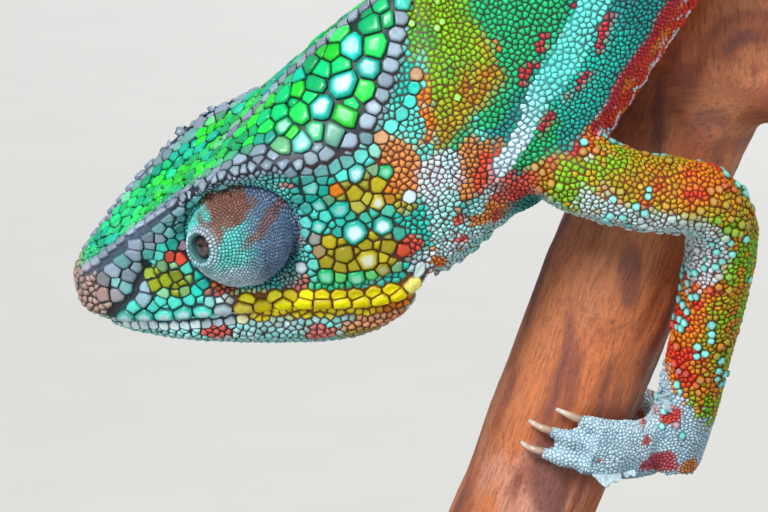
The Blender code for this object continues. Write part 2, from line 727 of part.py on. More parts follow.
def foot_ring(place, angle, width, thick, grow):
    """A flattened ring whose inner side lies just off the bark. It lies in the plane through
    the branch's centre line."""
    centre, tangent, left, under, radius = branch_frame(place)
    a = math.radians(angle)
    out = math.cos(a) * left + math.sin(a) * under
    middle = centre + out * (radius + GAP + FOOT_LIFT + thick)
    ring = []
    for k in range(FOOT_SIDES):
        t = 2 * math.pi * k / FOOT_SIDES
        along_branch = math.copysign(abs(math.sin(t)) ** 0.8, math.sin(t)) * (width + grow)
        outward = math.copysign(abs(math.cos(t)) ** 0.8, math.cos(t)) * (thick + grow)
        ring.append(middle + tangent * along_branch + out * outward)
    return ring


def make_foot(name, spec, skin, claw, parts, helpers):
    """Two opposed mitts of fused toes in one solid, bent round the branch like a clamp."""
    _, _, front_span, back_span, _, front_toes, back_toes = spec
    front = foot_path(spec, -front_span, FOOT_STEPS + 1)
    back = foot_path(spec, back_span, FOOT_STEPS + 1)
    for grow, label, target in ((0.0, name, parts), (GAP, name + "_cutter", helpers)):
        rings = []
        for n, (place, angle) in enumerate(front[::-1]):
            width, thick = mitt_sizes(1 - n / FOOT_STEPS)
            rings.append(foot_ring(place, angle, width, thick, grow))
        for n, (place, angle) in enumerate(back[1:]):
            width, thick = mitt_sizes((n + 1) / FOOT_STEPS)
            rings.append(foot_ring(place, angle, width, thick, grow))
        solid = loft(label, rings, skin, target)
        if grow:
            cutter = as_helper(solid)
        else:
            foot = solid
    number = 0
    for toes, path, sign in ((front_toes, front, -1), (back_toes, back, 1)):
        for k, length in enumerate(TOE_LENGTHS[toes]):
            number += 1
            shift = (k - (toes - 1) / 2) * TOE_PITCH
            lay = (*path[-1], sign, shift)
            toe = make_toe(f"{name}_toe_{number}", lay, length, skin, helpers)
            boolean(foot, toe, "UNION")
            make_claw(f"{name}_claw_{number}", lay, length, claw, parts)
    return cutter


def toe_line(lay, start, end, count):
    """Points along a toe, in millimetres from the mitt's end, just off the bark. The toes
    spread a little."""
    place, angle, sign, shift = lay
    _, tangent, _, _, radius = branch_frame(place)
    height = radius + GAP + TOE_LIFT + TOE_RADIUS
    points = []
    for i in range(count):
        f = start + (end - start) * i / (count - 1)
        point = round_branch(place, angle + sign * math.degrees(f / height), height)
        points.append(point + tangent * shift * (1 + TOE_SPREAD * f))
    return points


def make_toe(name, lay, length, skin, helpers):
    path = toe_line(lay, -TOE_ROOT, length, len(TOE_SWELLING))
    radii = [TOE_RADIUS * swelling for swelling in TOE_SWELLING]
    outward = unit(path[0] - branch_frame(lay[0])[0])
    return as_helper(loft(name, tube_rings(path, radii, TOE_SIDES, outward), skin, helpers))


def make_claw(name, lay, length, claw, parts):
    """A curved cone from the end of a toe, which bends down to the bark."""
    start = length + GAP
    line = toe_line(lay, start, start + CLAW_LENGTH, CLAW_STEPS + 1)
    centre = branch_frame(lay[0])[0]
    path, radii = [], []
    for i, point in enumerate(line):
        f = i / CLAW_STEPS
        path.append(point + unit(centre - point) * claw_drop(f))
        radii.append(CLAW_RADIUS + (CLAW_TIP_RADIUS - CLAW_RADIUS) * f)
    outward = unit(line[0] - centre)
    loft(name, tube_rings(path, radii, CLAW_SIDES, outward), claw, parts)


def claw_drop(f):
    """How far a claw has come down towards the bark at f of its length."""
    return 0.15 - 0.35 * f + 1.1 * f * f


def main():
    clear_scene()
    parts = new_collection("panther_chameleon")
    helpers = new_collection("cutters", hidden=True)
    paint = {name: new_material(name) for name in COLOURS}
    make_stand(parts, paint["stand"], paint["steel"])
    make_branch(parts, helpers, paint["wood"])
    make_head(parts, helpers, paint["skin_head"], paint["lid"], paint["eyeball"])
    body_cutter = make_body(parts, helpers, paint["skin_green"])
    make_tail(parts, paint["skin_green"])
    for leg, (rows, cut, foot) in LEGS.items():
        cutter = make_foot(foot, FEET[foot], paint["skin_foot"], paint["claw"], parts, helpers)
        make_leg(leg, rows, cut, body_cutter, cutter, paint["skin_green"], parts)


main()
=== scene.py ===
"""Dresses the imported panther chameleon: one skin, scales as solid mesh, eyes, claws, wood and stand."""

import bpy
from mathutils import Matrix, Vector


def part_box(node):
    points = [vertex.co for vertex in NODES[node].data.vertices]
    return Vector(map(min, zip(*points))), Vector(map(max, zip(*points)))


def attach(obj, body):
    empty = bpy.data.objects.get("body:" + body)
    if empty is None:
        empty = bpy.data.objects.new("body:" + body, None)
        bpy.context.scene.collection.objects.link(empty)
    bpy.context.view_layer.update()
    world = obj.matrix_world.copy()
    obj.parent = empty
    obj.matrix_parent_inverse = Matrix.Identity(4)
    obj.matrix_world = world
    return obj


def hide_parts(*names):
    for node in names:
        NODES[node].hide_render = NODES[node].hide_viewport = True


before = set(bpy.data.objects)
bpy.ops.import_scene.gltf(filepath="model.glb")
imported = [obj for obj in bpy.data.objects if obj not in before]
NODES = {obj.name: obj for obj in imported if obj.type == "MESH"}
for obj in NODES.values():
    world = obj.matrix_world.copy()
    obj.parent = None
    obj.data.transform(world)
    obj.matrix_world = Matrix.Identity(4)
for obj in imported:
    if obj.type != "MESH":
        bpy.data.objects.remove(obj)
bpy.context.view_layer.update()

import math

import bpy
import numpy as np
from bpy.props import FloatProperty, FloatVectorProperty, PointerProperty
from mathutils import Matrix, Vector
from mathutils.bvhtree import BVHTree
from mathutils.kdtree import KDTree

bl_info = {
    "name": "Panther chameleon finish",
    "version": (1, 0, 0),
    "blender": (4, 5, 0),
    "location": "View3D > Sidebar > Chameleon",
    "description": "Skin, scales, eyes, claws, branch and stand of a life-size panther chameleon",
    "category": "Object",
}

MM = 0.001
RANDOM_SEED = 11
MARKINGS = "Markings"  # the colour attribute that every painted piece carries
COAT_UV = "OFBake"
SKIN_KEPT = 0.29  # share of the skin's faces kept when it is thinned
SWELL = 0.26 * MM  # closes the gaps between the solids while they are joined
PLATE_WIDTH = 1.2  # millimetres from which a scale is a plate, not a granule
FINE_WIDTH = 1.25  # millimetres from which a scale takes the finer of the two shapes
TUBERCLES = 0.026  # share of the granules in a group that grow into tubercles
PACKING = 0.42  # how near scales may start, as a share of the sum of their widths
ROW_ROOM = 0.64  # how near a loose scale may start to a row, as a share of both half widths
HEXAGON = 0.866  # area that a scale takes, as a share of its width squared
CANDIDATES = 7.0  # random places tried for each scale that fits
NEIGHBOURS = 17  # places looked at round a scale, itself among them
PATCH = 0.0015  # half width of a scale's patch on the unwrap
RAY_START = 30.0  # how far out from the head's middle a ray starts that looks for its side
IN_ROW, LOOSE, RAISED = 0.0, 1.0, 2.0  # kinds of scale: plates in rows, others, and tubercles
FAR = 1e6  # a distance no place has
MIDPLANE = -2.0  # y that parts the scales of the left from those of the right, in millimetres
TRAVEL_ROUNDS = 900  # edges that the way over the skin may have, at most

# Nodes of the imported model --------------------
SIDES = ("left", "right")
FEET = [f"{end}foot_{side}" for end in ("fore", "hind") for side in SIDES]
LIDS = [f"eyelid_{side}" for side in SIDES]
CLAWS = sorted(name for name in NODES if "_claw_" in name)
NOT_FLESH = ("branch", "stand_", "eyeball_", "eyelid_")
FLESH = sorted(n for n in NODES if not n.startswith(NOT_FLESH) and n not in CLAWS)

# Head, in its own axes and millimetres: x back from the snout, y left, z up from the lips -----
HEAD_ORIGIN = np.array((-72.5, 1.0, 79.0))
HEAD_PITCH = math.radians(12)
HEAD_ROLL = math.radians(13)
# The line of the lips, and the crest that parts the side of the head from its roof
LIP_LINE = np.array([
    (-0.6, 2.2), (0.9, 0.7), (4, 0), (20, 0), (26, -0.4), (31, -1.3), (36, -2.1), (40, -2.2), (42.6, -1.2),
    (44, 0.6),
])
CREST_LINE = np.array([
    (-0.6, 1.5, 6.0), (0.9, 3.1, 7.8), (4, 5.2, 10.3), (8, 7.2, 13.3), (13.2, 9.2, 16.8), (20, 10.7, 20.2),
    (26.8, 11.8, 21.1), (32.2, 12.3, 20.3), (37.9, 11.6, 21.2), (42.4, 9.8, 24.2), (45.8, 6.3, 29.4),
    (47.9, 3.0, 33.8),
])
NOSTRIL = (9.7, 8.2)
NOSE_FOLD = [(9.4, 7.6), (7.2, 4.9), (3.4, 1.6)]  # the crease from nostril to lip
EYE_CENTRE = (22.1, 8.8, 10.9)
EYE_RADIUS = 6.6
GAZES = {"left": (-0.68, -0.745, -0.03), "right": (-0.52, 0.84, 0.16)}  # in the world's axes

# Stations of neck and trunk, seen from the side: x, z of the belly, then x, z of the back -----
STATIONS = np.array([
    (-29.3, 86.4, -31.6, 121.1), (-24.2, 87.3, -30.8, 124), (-20.2, 91.4, -30.2, 128),
    (-10.6, 98, -29.2, 133.5), (-1.8, 110.6, -26.5, 141.5), (4.5, 120.5, -21.8, 151),
    (15, 135, -12.6, 168.5), (26, 149.5, 0, 184.5), (36.5, 163, 14.2, 197.5), (45, 176, 29, 207.5),
    (51.5, 188.5, 43.5, 214.5), (58.6, 200, 51.8, 218), (64.4, 208.2, 58.8, 220.8),
])


# Settings a user would change --------------------
def tint(name, about, *default):
    return FloatVectorProperty(
        name=name, description=about, default=default, size=3, subtype="COLOR", min=0.0, max=1.0
    )


def length(name, about, default):
    return FloatProperty(name=name, description=about, default=default * MM, unit="LENGTH", precision=5)


class CHAMELEON_PG_sizes(bpy.types.PropertyGroup):
    coat_depth: length("Coat depth", "How far the skin lies inside the solids, under the scales", 0.36)
    foot_depth: length("Foot coat depth", "The same on the feet", 0.17)
    skin_voxel: length("Skin grain", "Edge of the skin's mesh before it is thinned", 0.42)
    lid_voxel: length("Lid grain", "Edge of the mesh of the eyelids", 0.3)
    trunk_scale: length("Trunk scale", "Width of a granule on neck and shoulder", 0.66)
    leg_scale: length("Leg scale", "Width of a granule on the forelegs", 0.66)
    foot_scale: length("Foot scale", "Width of a granule on the feet", 0.44)
    lid_scale: length("Lid scale", "Width of a granule on the eyelids", 0.45)


class CHAMELEON_PG_colours(bpy.types.PropertyGroup):
    green: tint("Bright green", "Casque plates", 0.015, 0.80, 0.04)
    emerald: tint("Emerald", "Snout, casque and flank", 0.0, 0.47, 0.15)
    teal: tint("Teal", "Snout and cheek plates, bars", 0.0, 0.50, 0.40)
    cyan: tint("Cyan", "Small scales of the face and the stripe", 0.09, 0.72, 0.62)
    lilac: tint("Grey lilac", "Crests of the head", 0.27, 0.33, 0.45)
    white: tint("Bluish white", "Lips, throat and feet", 0.58, 0.78, 0.88)
    yellow: tint("Yellow", "Lips", 0.95, 0.80, 0.0)
    olive: tint("Olive", "Cheek plates and legs", 0.38, 0.33, 0.0)
    orange: tint("Orange", "Temple and legs", 0.70, 0.20, 0.0)
    red: tint("Red", "Marks on face and legs", 0.66, 0.03, 0.004)
    crimson: tint("Crimson", "Spots of the flank", 0.50, 0.01, 0.03)
    moss: tint("Moss", "Plates before the eyes", 0.24, 0.31, 0.0)
    lime: tint("Yellow green", "Neck and bars of the trunk", 0.20, 0.50, 0.0)
    brown: tint("Brown", "Lower end of the bars", 0.42, 0.17, 0.0)
    leaf: tint("Leaf green", "Neck and flank", 0.01, 0.40, 0.05)
    deep: tint("Deep teal", "Lower flank", 0.0, 0.28, 0.27)
    lid: tint("Lid blue", "Eyelids", 0.13, 0.22, 0.38)
    rust: tint("Rust", "Patch on the eyelids", 0.24, 0.08, 0.05)
    pink: tint("Snout pink", "Tip of the snout", 0.42, 0.27, 0.24)
    groove: tint("Groove", "Skin between the plates of the head", 0.014, 0.014, 0.04)
    horn: tint("Horn", "Claws", 0.50, 0.36, 0.27)
    wood: tint("Wood", "Branch", 0.50, 0.18, 0.075)
    heartwood: tint("Dark grain", "Streaks and knots of the branch", 0.16, 0.05, 0.05)


class CHAMELEON_PG_stage(bpy.types.PropertyGroup):
    floor: tint("Floor", "Colour of the floor", 0.62, 0.62, 0.60)
    view_width: length("View width", "What the camera sees across at its target", 96.0)
    view_distance: length("View distance", "From the camera to its target", 650.0)


def sizes():
    return bpy.context.scene.chameleon_sizes


def palette(name):
    return np.array(getattr(bpy.context.scene.chameleon_colours, name))


# Small mathematics --------------------
def unit(rows):
    return rows / np.maximum(np.linalg.norm(rows, axis=-1, keepdims=True), 1e-12)


def ease(low, high, value):
    share = np.clip((value - low) / (high - low), 0.0, 1.0)
    return share * share * (3 - 2 * share)


def hill(offset, width):
    return np.exp(-((offset / width) ** 2))


def mix(first, second, share):
    share = np.asarray(share)[..., None]
    return first * (1 - share) + second * share


def blended(first, second, share):
    """Between two colours of the palette."""
    return mix(palette(first), palette(second), share)


def layered(colours, *layers):
    """The colours with each layer, a colour and its share, laid over them in turn."""
    for colour, share in layers:
        colours = mix(colours, palette(colour) if isinstance(colour, str) else colour, share)
    return colours


def ripples(distance, spacing):
    return np.cos(2 * math.pi * distance / spacing)


def noise(points, size, seed=0):
    """Smooth random values from -1 to 1, with features about `size` millimetres across."""
    grid = points / size + 37.7 * seed
    cell = np.floor(grid).astype(np.int64)
    share = grid - cell
    share = share * share * (3 - 2 * share)
    total = np.zeros(len(points))
    for corner in range(8):
        step = np.array([(corner >> k) & 1 for k in range(3)])
        weight = np.prod(np.where(step, share, 1 - share), axis=1)
        i, j, k = (cell + step).T
        code = (i * 73856093) ^ (j * 19349663) ^ (k * 83492791)
        code = ((code ^ (code >> 13)) * 1274126177) & 0x7FFFFFFF
        total += weight * ((code & 0xFFFF) / 32767.5 - 1)
    return total


def smooth_line(points, steps=24):
    """A dense curve through the points (Catmull-Rom)."""
    p = np.array(points, float)
    p = np.vstack([2 * p[0] - p[1], p, 2 * p[-1] - p[-2]])
    t = np.linspace(0, 1, steps, endpoint=False)[:, None]
    rows = []
    for a, b, c, d in zip(p, p[1:], p[2:], p[3:]):
        rows.append(b + 0.5 * t * (c - a + t * (2 * a - 5 * b + 4 * c - d + t * (3 * (b - c) + d - a))))
    return np.vstack(rows + [p[-2:-1]])


def spaced(points, start_step, end_step):
    """Places along a curve through the points whose spacing goes from one step to the other."""
    line = smooth_line(points)
    travelled = np.concatenate([[0], np.cumsum(np.linalg.norm(np.diff(line, axis=0), axis=1))])
    places = [0.5 * start_step]
    while places[-1] < travelled[-1]:
        share = places[-1] / travelled[-1]
        places.append(places[-1] + start_step + (end_step - start_step) * share)
    return np.stack([np.interp(places[:-1], travelled, line[:, k]) for k in range(line.shape[1])], 1)


def line_place(points, line):
    """For each point, the share of the way along the line where it is nearest, and its distance."""
    line = np.array(line, float)
    spans = np.diff(line, axis=0)
    lengths = np.linalg.norm(spans, axis=1)
    starts = np.concatenate([[0], np.cumsum(lengths)[:-1]])
    best = np.full(len(points), np.inf)
    place = np.zeros(len(points))
    for start, span, size, before in zip(line, spans, lengths, starts):
        share = np.clip((points - start) @ span / size**2, 0, 1)
        gap = np.linalg.norm(points - start - share[:, None] * span, axis=1)
        nearer = gap < best
        best = np.where(nearer, gap, best)
        place = np.where(nearer, before + share * size, place)
    return place / lengths.sum(), best


# Head axes --------------------
def head_axes():
    back = np.array((math.cos(HEAD_PITCH), 0.0, math.sin(HEAD_PITCH)))
    level_up = np.array((-math.sin(HEAD_PITCH), 0.0, math.cos(HEAD_PITCH)))
    level_left = np.array((0.0, -1.0, 0.0))
    left = math.cos(HEAD_ROLL) * level_left - math.sin(HEAD_ROLL) * level_up
    up = math.cos(HEAD_ROLL) * level_up + math.sin(HEAD_ROLL) * level_left
    return np.array((back, left, up))


AXES = head_axes()


def in_head(points):
    return (points - HEAD_ORIGIN) @ AXES.T


def from_head(points):
    return HEAD_ORIGIN + np.asarray(points, float) @ AXES


def lip_height(x):
    return np.interp(x, *LIP_LINE.T)


def crest(x):
    """Half width and height of the crest at places back from the snout."""
    back, width, height = CREST_LINE.T
    return np.interp(x, back, width), np.interp(x, back, height)


def from_eye(x, z):
    """Distance from the middle of the eyes, seen from the side of the head."""
    return np.hypot(x - EYE_CENTRE[0], z - EYE_CENTRE[2])


def eye_middle(side):
    """Centre of an eye in the head's axes."""
    x, y, z = EYE_CENTRE
    return np.array((x, y if side == "left" else -y, z))


# Mesh helpers --------------------
def only(where, chosen):
    """The places of a dictionary of arrays that are chosen."""
    return {key: value[chosen] for key, value in where.items()}


def select_only(*objects):
    bpy.ops.object.select_all(action="DESELECT")
    for obj in objects:
        obj.select_set(True)
    bpy.context.view_layer.objects.active = objects[-1]


def edit_whole(piece, operator, **values):
    """Runs an operator on the whole of the piece in edit mode."""
    select_only(piece)
    bpy.ops.object.mode_set(mode="EDIT")
    bpy.ops.mesh.select_all(action="SELECT")
    operator(**values)
    bpy.ops.object.mode_set(mode="OBJECT")


def copy_nodes(names, name):
    """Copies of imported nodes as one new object, each closed shell merged."""
    twins = []
    for node in names:
        twin = bpy.data.objects.new(name, NODES[node].data.copy())
        bpy.context.scene.collection.objects.link(twin)
        twin.matrix_world = NODES[node].matrix_world.copy()
        twins.append(twin)
    select_only(*twins)
    if len(twins) > 1:
        bpy.ops.object.join()
    piece = bpy.context.view_layer.objects.active
    piece.name = name
    piece.data.name = name
    piece.data.materials.clear()
    edit_whole(piece, bpy.ops.mesh.remove_doubles, threshold=1e-6)
    return piece


def finish_with(piece, kind, **values):
    """Adds a modifier to the piece and applies it."""
    select_only(piece)
    modifier = piece.modifiers.new(kind.title(), kind)
    for key, value in values.items():
        setattr(modifier, key, value)
    bpy.ops.object.modifier_apply(modifier=modifier.name)


def smooth(piece, rounds, **values):
    finish_with(piece, "SMOOTH", factor=0.5, iterations=rounds, **values)


def remesh(piece, voxel):
    finish_with(piece, "REMESH", mode="VOXEL", voxel_size=voxel, use_smooth_shade=True)


def vertex_rows(piece, key):
    rows = np.empty(len(piece.data.vertices) * 3, np.float32)
    piece.data.vertices.foreach_get(key, rows)
    return rows.reshape(-1, 3).astype(float)


def points_of(piece):
    return vertex_rows(piece, "co") / MM


def normals_of(piece):
    return vertex_rows(piece, "normal")


def middle_of(box):
    low, high = box
    return (np.array(low) + np.array(high)) / 2 / MM


def move_points(piece, points):
    piece.data.vertices.foreach_set("co", (points * MM).astype(np.float32).ravel())
    piece.data.update()


def triangles_of(piece):
    mesh = piece.data
    mesh.calc_loop_triangles()
    corners = np.empty(len(mesh.loop_triangles) * 3, np.int32)
    mesh.loop_triangles.foreach_get("vertices", corners)
    return corners.reshape(-1, 3)


def paint(piece, colours):
    layer = piece.data.color_attributes.new(MARKINGS, "FLOAT_COLOR", "POINT")
    rows = np.ones((len(colours), 4), np.float32)
    rows[:, :3] = np.clip(colours, 0, 1)
    layer.data.foreach_set("color", rows.ravel())


def place_piece(piece, slot, material, *nodes):
    piece.data.materials.clear()
    piece.data.materials.append(material)
    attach(piece, "root")
    if nodes:
        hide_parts(*nodes)
    return piece


def lay_uv(piece, uv, corners):
    """Gives each corner of the piece the UV of its point."""
    layer = piece.data.uv_layers.new(name=COAT_UV)
    layer.uv.foreach_set("vector", uv[corners].astype(np.float32).ravel())


def mesh_piece(name, points, faces, face_sizes):
    """An object from arrays: points in millimetres, and the corners of all faces in a row."""
    mesh = bpy.data.meshes.new(name)
    mesh.vertices.add(len(points))
    mesh.vertices.foreach_set("co", (points * MM).astype(np.float32).ravel())
    mesh.loops.add(len(faces))
    mesh.loops.foreach_set("vertex_index", faces.astype(np.int32))
    mesh.polygons.add(len(face_sizes))
    starts = np.concatenate([[0], np.cumsum(face_sizes)[:-1]])
    mesh.polygons.foreach_set("loop_start", starts.astype(np.int32))
    mesh.polygons.foreach_set("use_smooth", np.ones(len(face_sizes), bool))
    mesh.update(calc_edges=True)
    mesh.validate()
    piece = bpy.data.objects.new(name, mesh)
    bpy.context.scene.collection.objects.link(piece)
    return piece


class Surface:
    """A mesh as arrays in millimetres, with a tree for nearest points."""

    def __init__(self, piece):
        self.points = points_of(piece)
        self.normals = normals_of(piece)
        self.faces = triangles_of(piece)
        self.tree = BVHTree.FromPolygons(self.points.tolist(), self.faces.tolist())

    def edges(self):
        """The sides of all triangles as pairs of points, once in each direction."""
        pairs = np.vstack([self.faces[:, [0, 1]], self.faces[:, [1, 2]], self.faces[:, [2, 0]]])
        return np.vstack([pairs, pairs[:, ::-1]])

    def nearest(self, points):
        """The nearest places on the surface, their smooth normals and their triangles."""
        hits = [self.tree.find_nearest(p) for p in points.tolist()]
        places = np.array([hit[0] for hit in hits])
        face = np.array([hit[2] for hit in hits])
        return places, self.normal_at(places, face), face

    def struck(self, origins, directions):
        """Where rays first strike the surface; a ray that misses takes the nearest place."""
        places, faces = [], []
        for start, way in zip(origins.tolist(), directions.tolist()):
            place, _, face, _ = self.tree.ray_cast(start, way)
            if place is None:
                place, _, face, _ = self.tree.find_nearest(start)
            places.append(place)
            faces.append(face)
        places = np.array(places)
        faces = np.array(faces)
        return places, self.normal_at(places, faces), faces

    def hides(self, origins, directions, distance):
        """Whether the surface stands in the way of short rays."""
        rays = zip(origins.tolist(), directions.tolist())
        return np.array([self.tree.ray_cast(start, way, distance)[0] is not None for start, way in rays])

    def shares(self, places, face):
        """How much each corner of its triangle counts at a place."""
        a, b, c = (self.points[self.faces[face, k]] for k in range(3))
        normal = np.cross(b - a, c - a)
        area = np.maximum((normal**2).sum(1), 1e-12)
        third = (np.cross(b - a, places - a) * normal).sum(1) / area
        second = (np.cross(places - a, c - a) * normal).sum(1) / area
        return np.stack([1 - second - third, second, third], 1)

    def normal_at(self, places, face, normals=None):
        normals = self.normals if normals is None else normals
        share = self.shares(places, face)
        return unit((normals[self.faces[face]] * share[..., None]).sum(1))

    def softened(self, rounds):
        """Normals averaged with their neighbours, for plates that lie across a ridge."""
        here, there = self.edges().T
        normals = self.normals
        for _ in range(rounds):
            ends = [np.bincount(here, normals[there, k], len(normals)) for k in range(3)]
            normals = unit(normals + np.stack(ends, 1))
        return normals


# What lies where on the body --------------------
class Body:
    """The skin's surface with the node and the places that each of its points belongs to."""

    def __init__(self, piece):
        self.surface = Surface(piece)
        self.node, _ = nearest_nodes(FLESH, self.surface.points)
        self.reach = self.travel(~self.on("leg", "foot", "tail"))

    def elbows(self):
        """For each lower leg, the distance from the trunk where it begins."""
        lowers = [name for name in FLESH if "leg_lower" in name or "leg_shank" in name]
        return {name: float(self.reach[self.node == FLESH.index(name)].min()) for name in lowers}

    def on(self, *words):
        """Whether each point lies on a node whose name has one of the words in it."""
        return np.isin(self.node, np.flatnonzero(where_named(FLESH, *words)))

    def travel(self, start):
        """Distance over the skin from the points where start is true, in millimetres."""
        pairs = self.surface.edges()
        pairs = pairs[np.argsort(pairs[:, 1], kind="stable")]
        points = self.surface.points
        steps = np.linalg.norm(points[pairs[:, 0]] - points[pairs[:, 1]], axis=1)
        ends, first = np.unique(pairs[:, 1], return_index=True)
        reach = np.where(start, 0.0, FAR)
        for _ in range(TRAVEL_ROUNDS):
            nearer = np.minimum.reduceat(reach[pairs[:, 0]] + steps, first)
            updated = reach.copy()
            updated[ends] = np.minimum(reach[ends], nearer)
            if np.array_equal(updated, reach):
                break
            reach = updated
        return reach


def trunk_places(points):
    """Place along the stations of neck and trunk, and place from the back at 0 to the belly at 1."""
    flat = points[:, [0, 2]]
    belly, back = STATIONS[:, :2], STATIONS[:, 2:]
    rise = back - belly
    lengths = np.linalg.norm(rise, axis=1)
    ahead = np.stack([rise[:, 1], -rise[:, 0]], 1) / lengths[:, None]
    offset = flat[:, None] - belly[None]
    passed = (offset * ahead).sum(2)
    height = (offset * rise).sum(2) / lengths**2
    last = len(STATIONS) - 2
    station = np.clip((passed > 0).sum(1) - 1, 0, last)
    rows = np.arange(len(points))
    before, after = passed[rows, station], passed[rows, station + 1]
    share = before / np.where(np.abs(before - after) < 1e-6, 1e-6, before - after)
    share = np.clip(share, -3.0, 4.0)
    down = 1 - (height[rows, station] * (1 - share) + height[rows, station + 1] * share)
    return station + share, down


def places_of(points, normals, node_index, reach):
    """Everything the markings depend on, for an array of points."""
    along, down = trunk_places(points)
    return {
        "points": points,
        "normals": normals,
        "names": np.array(FLESH)[node_index],
        "head": in_head(points),
        "along": along,
        "down": down,
        "reach": reach,
    }


def where_named(names, *words):
    return np.array([any(word in name for word in words) for name in names])


# Markings --------------------
# Marks on the side of the head: place back, height, half length, half height, colour, strength
FACE_MARKS = [
    (2.4, 4.0, 2.8, 2.6, "pink", 0.9),
    (15.8, 5.2, 3.6, 2.2, "teal", 0.9),
    (12.0, 6.0, 2.9, 2.3, "moss", 1.0),
    (14.2, 9.4, 2.4, 1.3, "red", 0.95),
    (16.4, 11.6, 1.6, 1.0, "lilac", 0.7),
    (18.4, 4.0, 2.4, 0.9, "red", 0.85),
    (21.8, 3.4, 2.0, 0.8, "cyan", 0.9),
    (28.6, 17.2, 1.6, 0.6, "red", 0.8),
    (29.2, 9.9, 0.7, 2.4, "red", 1.0),
    (31.0, 8.6, 0.6, 1.8, "red", 0.8),
    (27.6, 3.7, 1.9, 1.2, "red", 0.95),
    (18.6, 4.6, 2.2, 0.9, "orange", 0.9),
    (38.6, 14.0, 4.2, 3.4, "olive", 0.95),
    (35.0, 15.5, 1.1, 0.8, "orange", 1.0),
    (36.0, 5.8, 5.6, 3.4, "olive", 1.0),
    (36.4, 10.6, 3.6, 1.9, "teal", 0.9),
    (33.6, 2.9, 4.6, 0.9, "emerald", 0.8),
    (43.2, 16.0, 3.0, 5.0, "orange", 0.9),
    (43.0, 11.6, 1.6, 1.6, "olive", 0.9),
    (45.2, 21.5, 2.6, 2.4, "cyan", 0.8),
    (41.6, 5.8, 2.4, 1.6, "red", 0.9),
    (44.4, 2.0, 3.2, 2.4, "white", 0.9),
    (46.6, 13.0, 1.8, 3.8, "white", 0.7),
]
# Marks under the lips, in the same terms
CHIN_MARKS = [
    (16.0, -2.4, 1.9, 1.1, "red", 0.9),
    (28.6, -4.9, 2.6, 1.2, "red", 0.8),
    (36.0, -4.6, 5.0, 1.8, "orange", 0.8),
    (33.5, -6.2, 3.0, 1.0, "olive", 0.7),
    (40.0, -6.0, 2.8, 1.6, "red", 0.7),
]


def lay_marks(colours, x, z, marks, edge):
    for place, height, long, tall, name, strength in marks:
        gap = np.hypot((x - place) / long, (z - height) / tall) + edge
        colours = mix(colours, palette(name), strength * (1 - ease(0.8, 1.15, gap)))
    return colours


def on_roof(where):
    """Whether places lie on the roof of the head, between and upon its crests."""
    x, y, z = where["head"].T
    crest_width, crest_height = crest(x)
    inward = -np.sign(y) * (where["normals"] @ AXES[1])
    upward = where["normals"] @ AXES[2] + 0.9 * inward > 0.3
    between = upward & (np.abs(y) < crest_width + 0.8) & (z > crest_height - 5.5)
    forward = where["normals"] @ AXES[0] < 0.45
    return (between | (z > crest_height - 0.5)) & (forward | (x < 36))


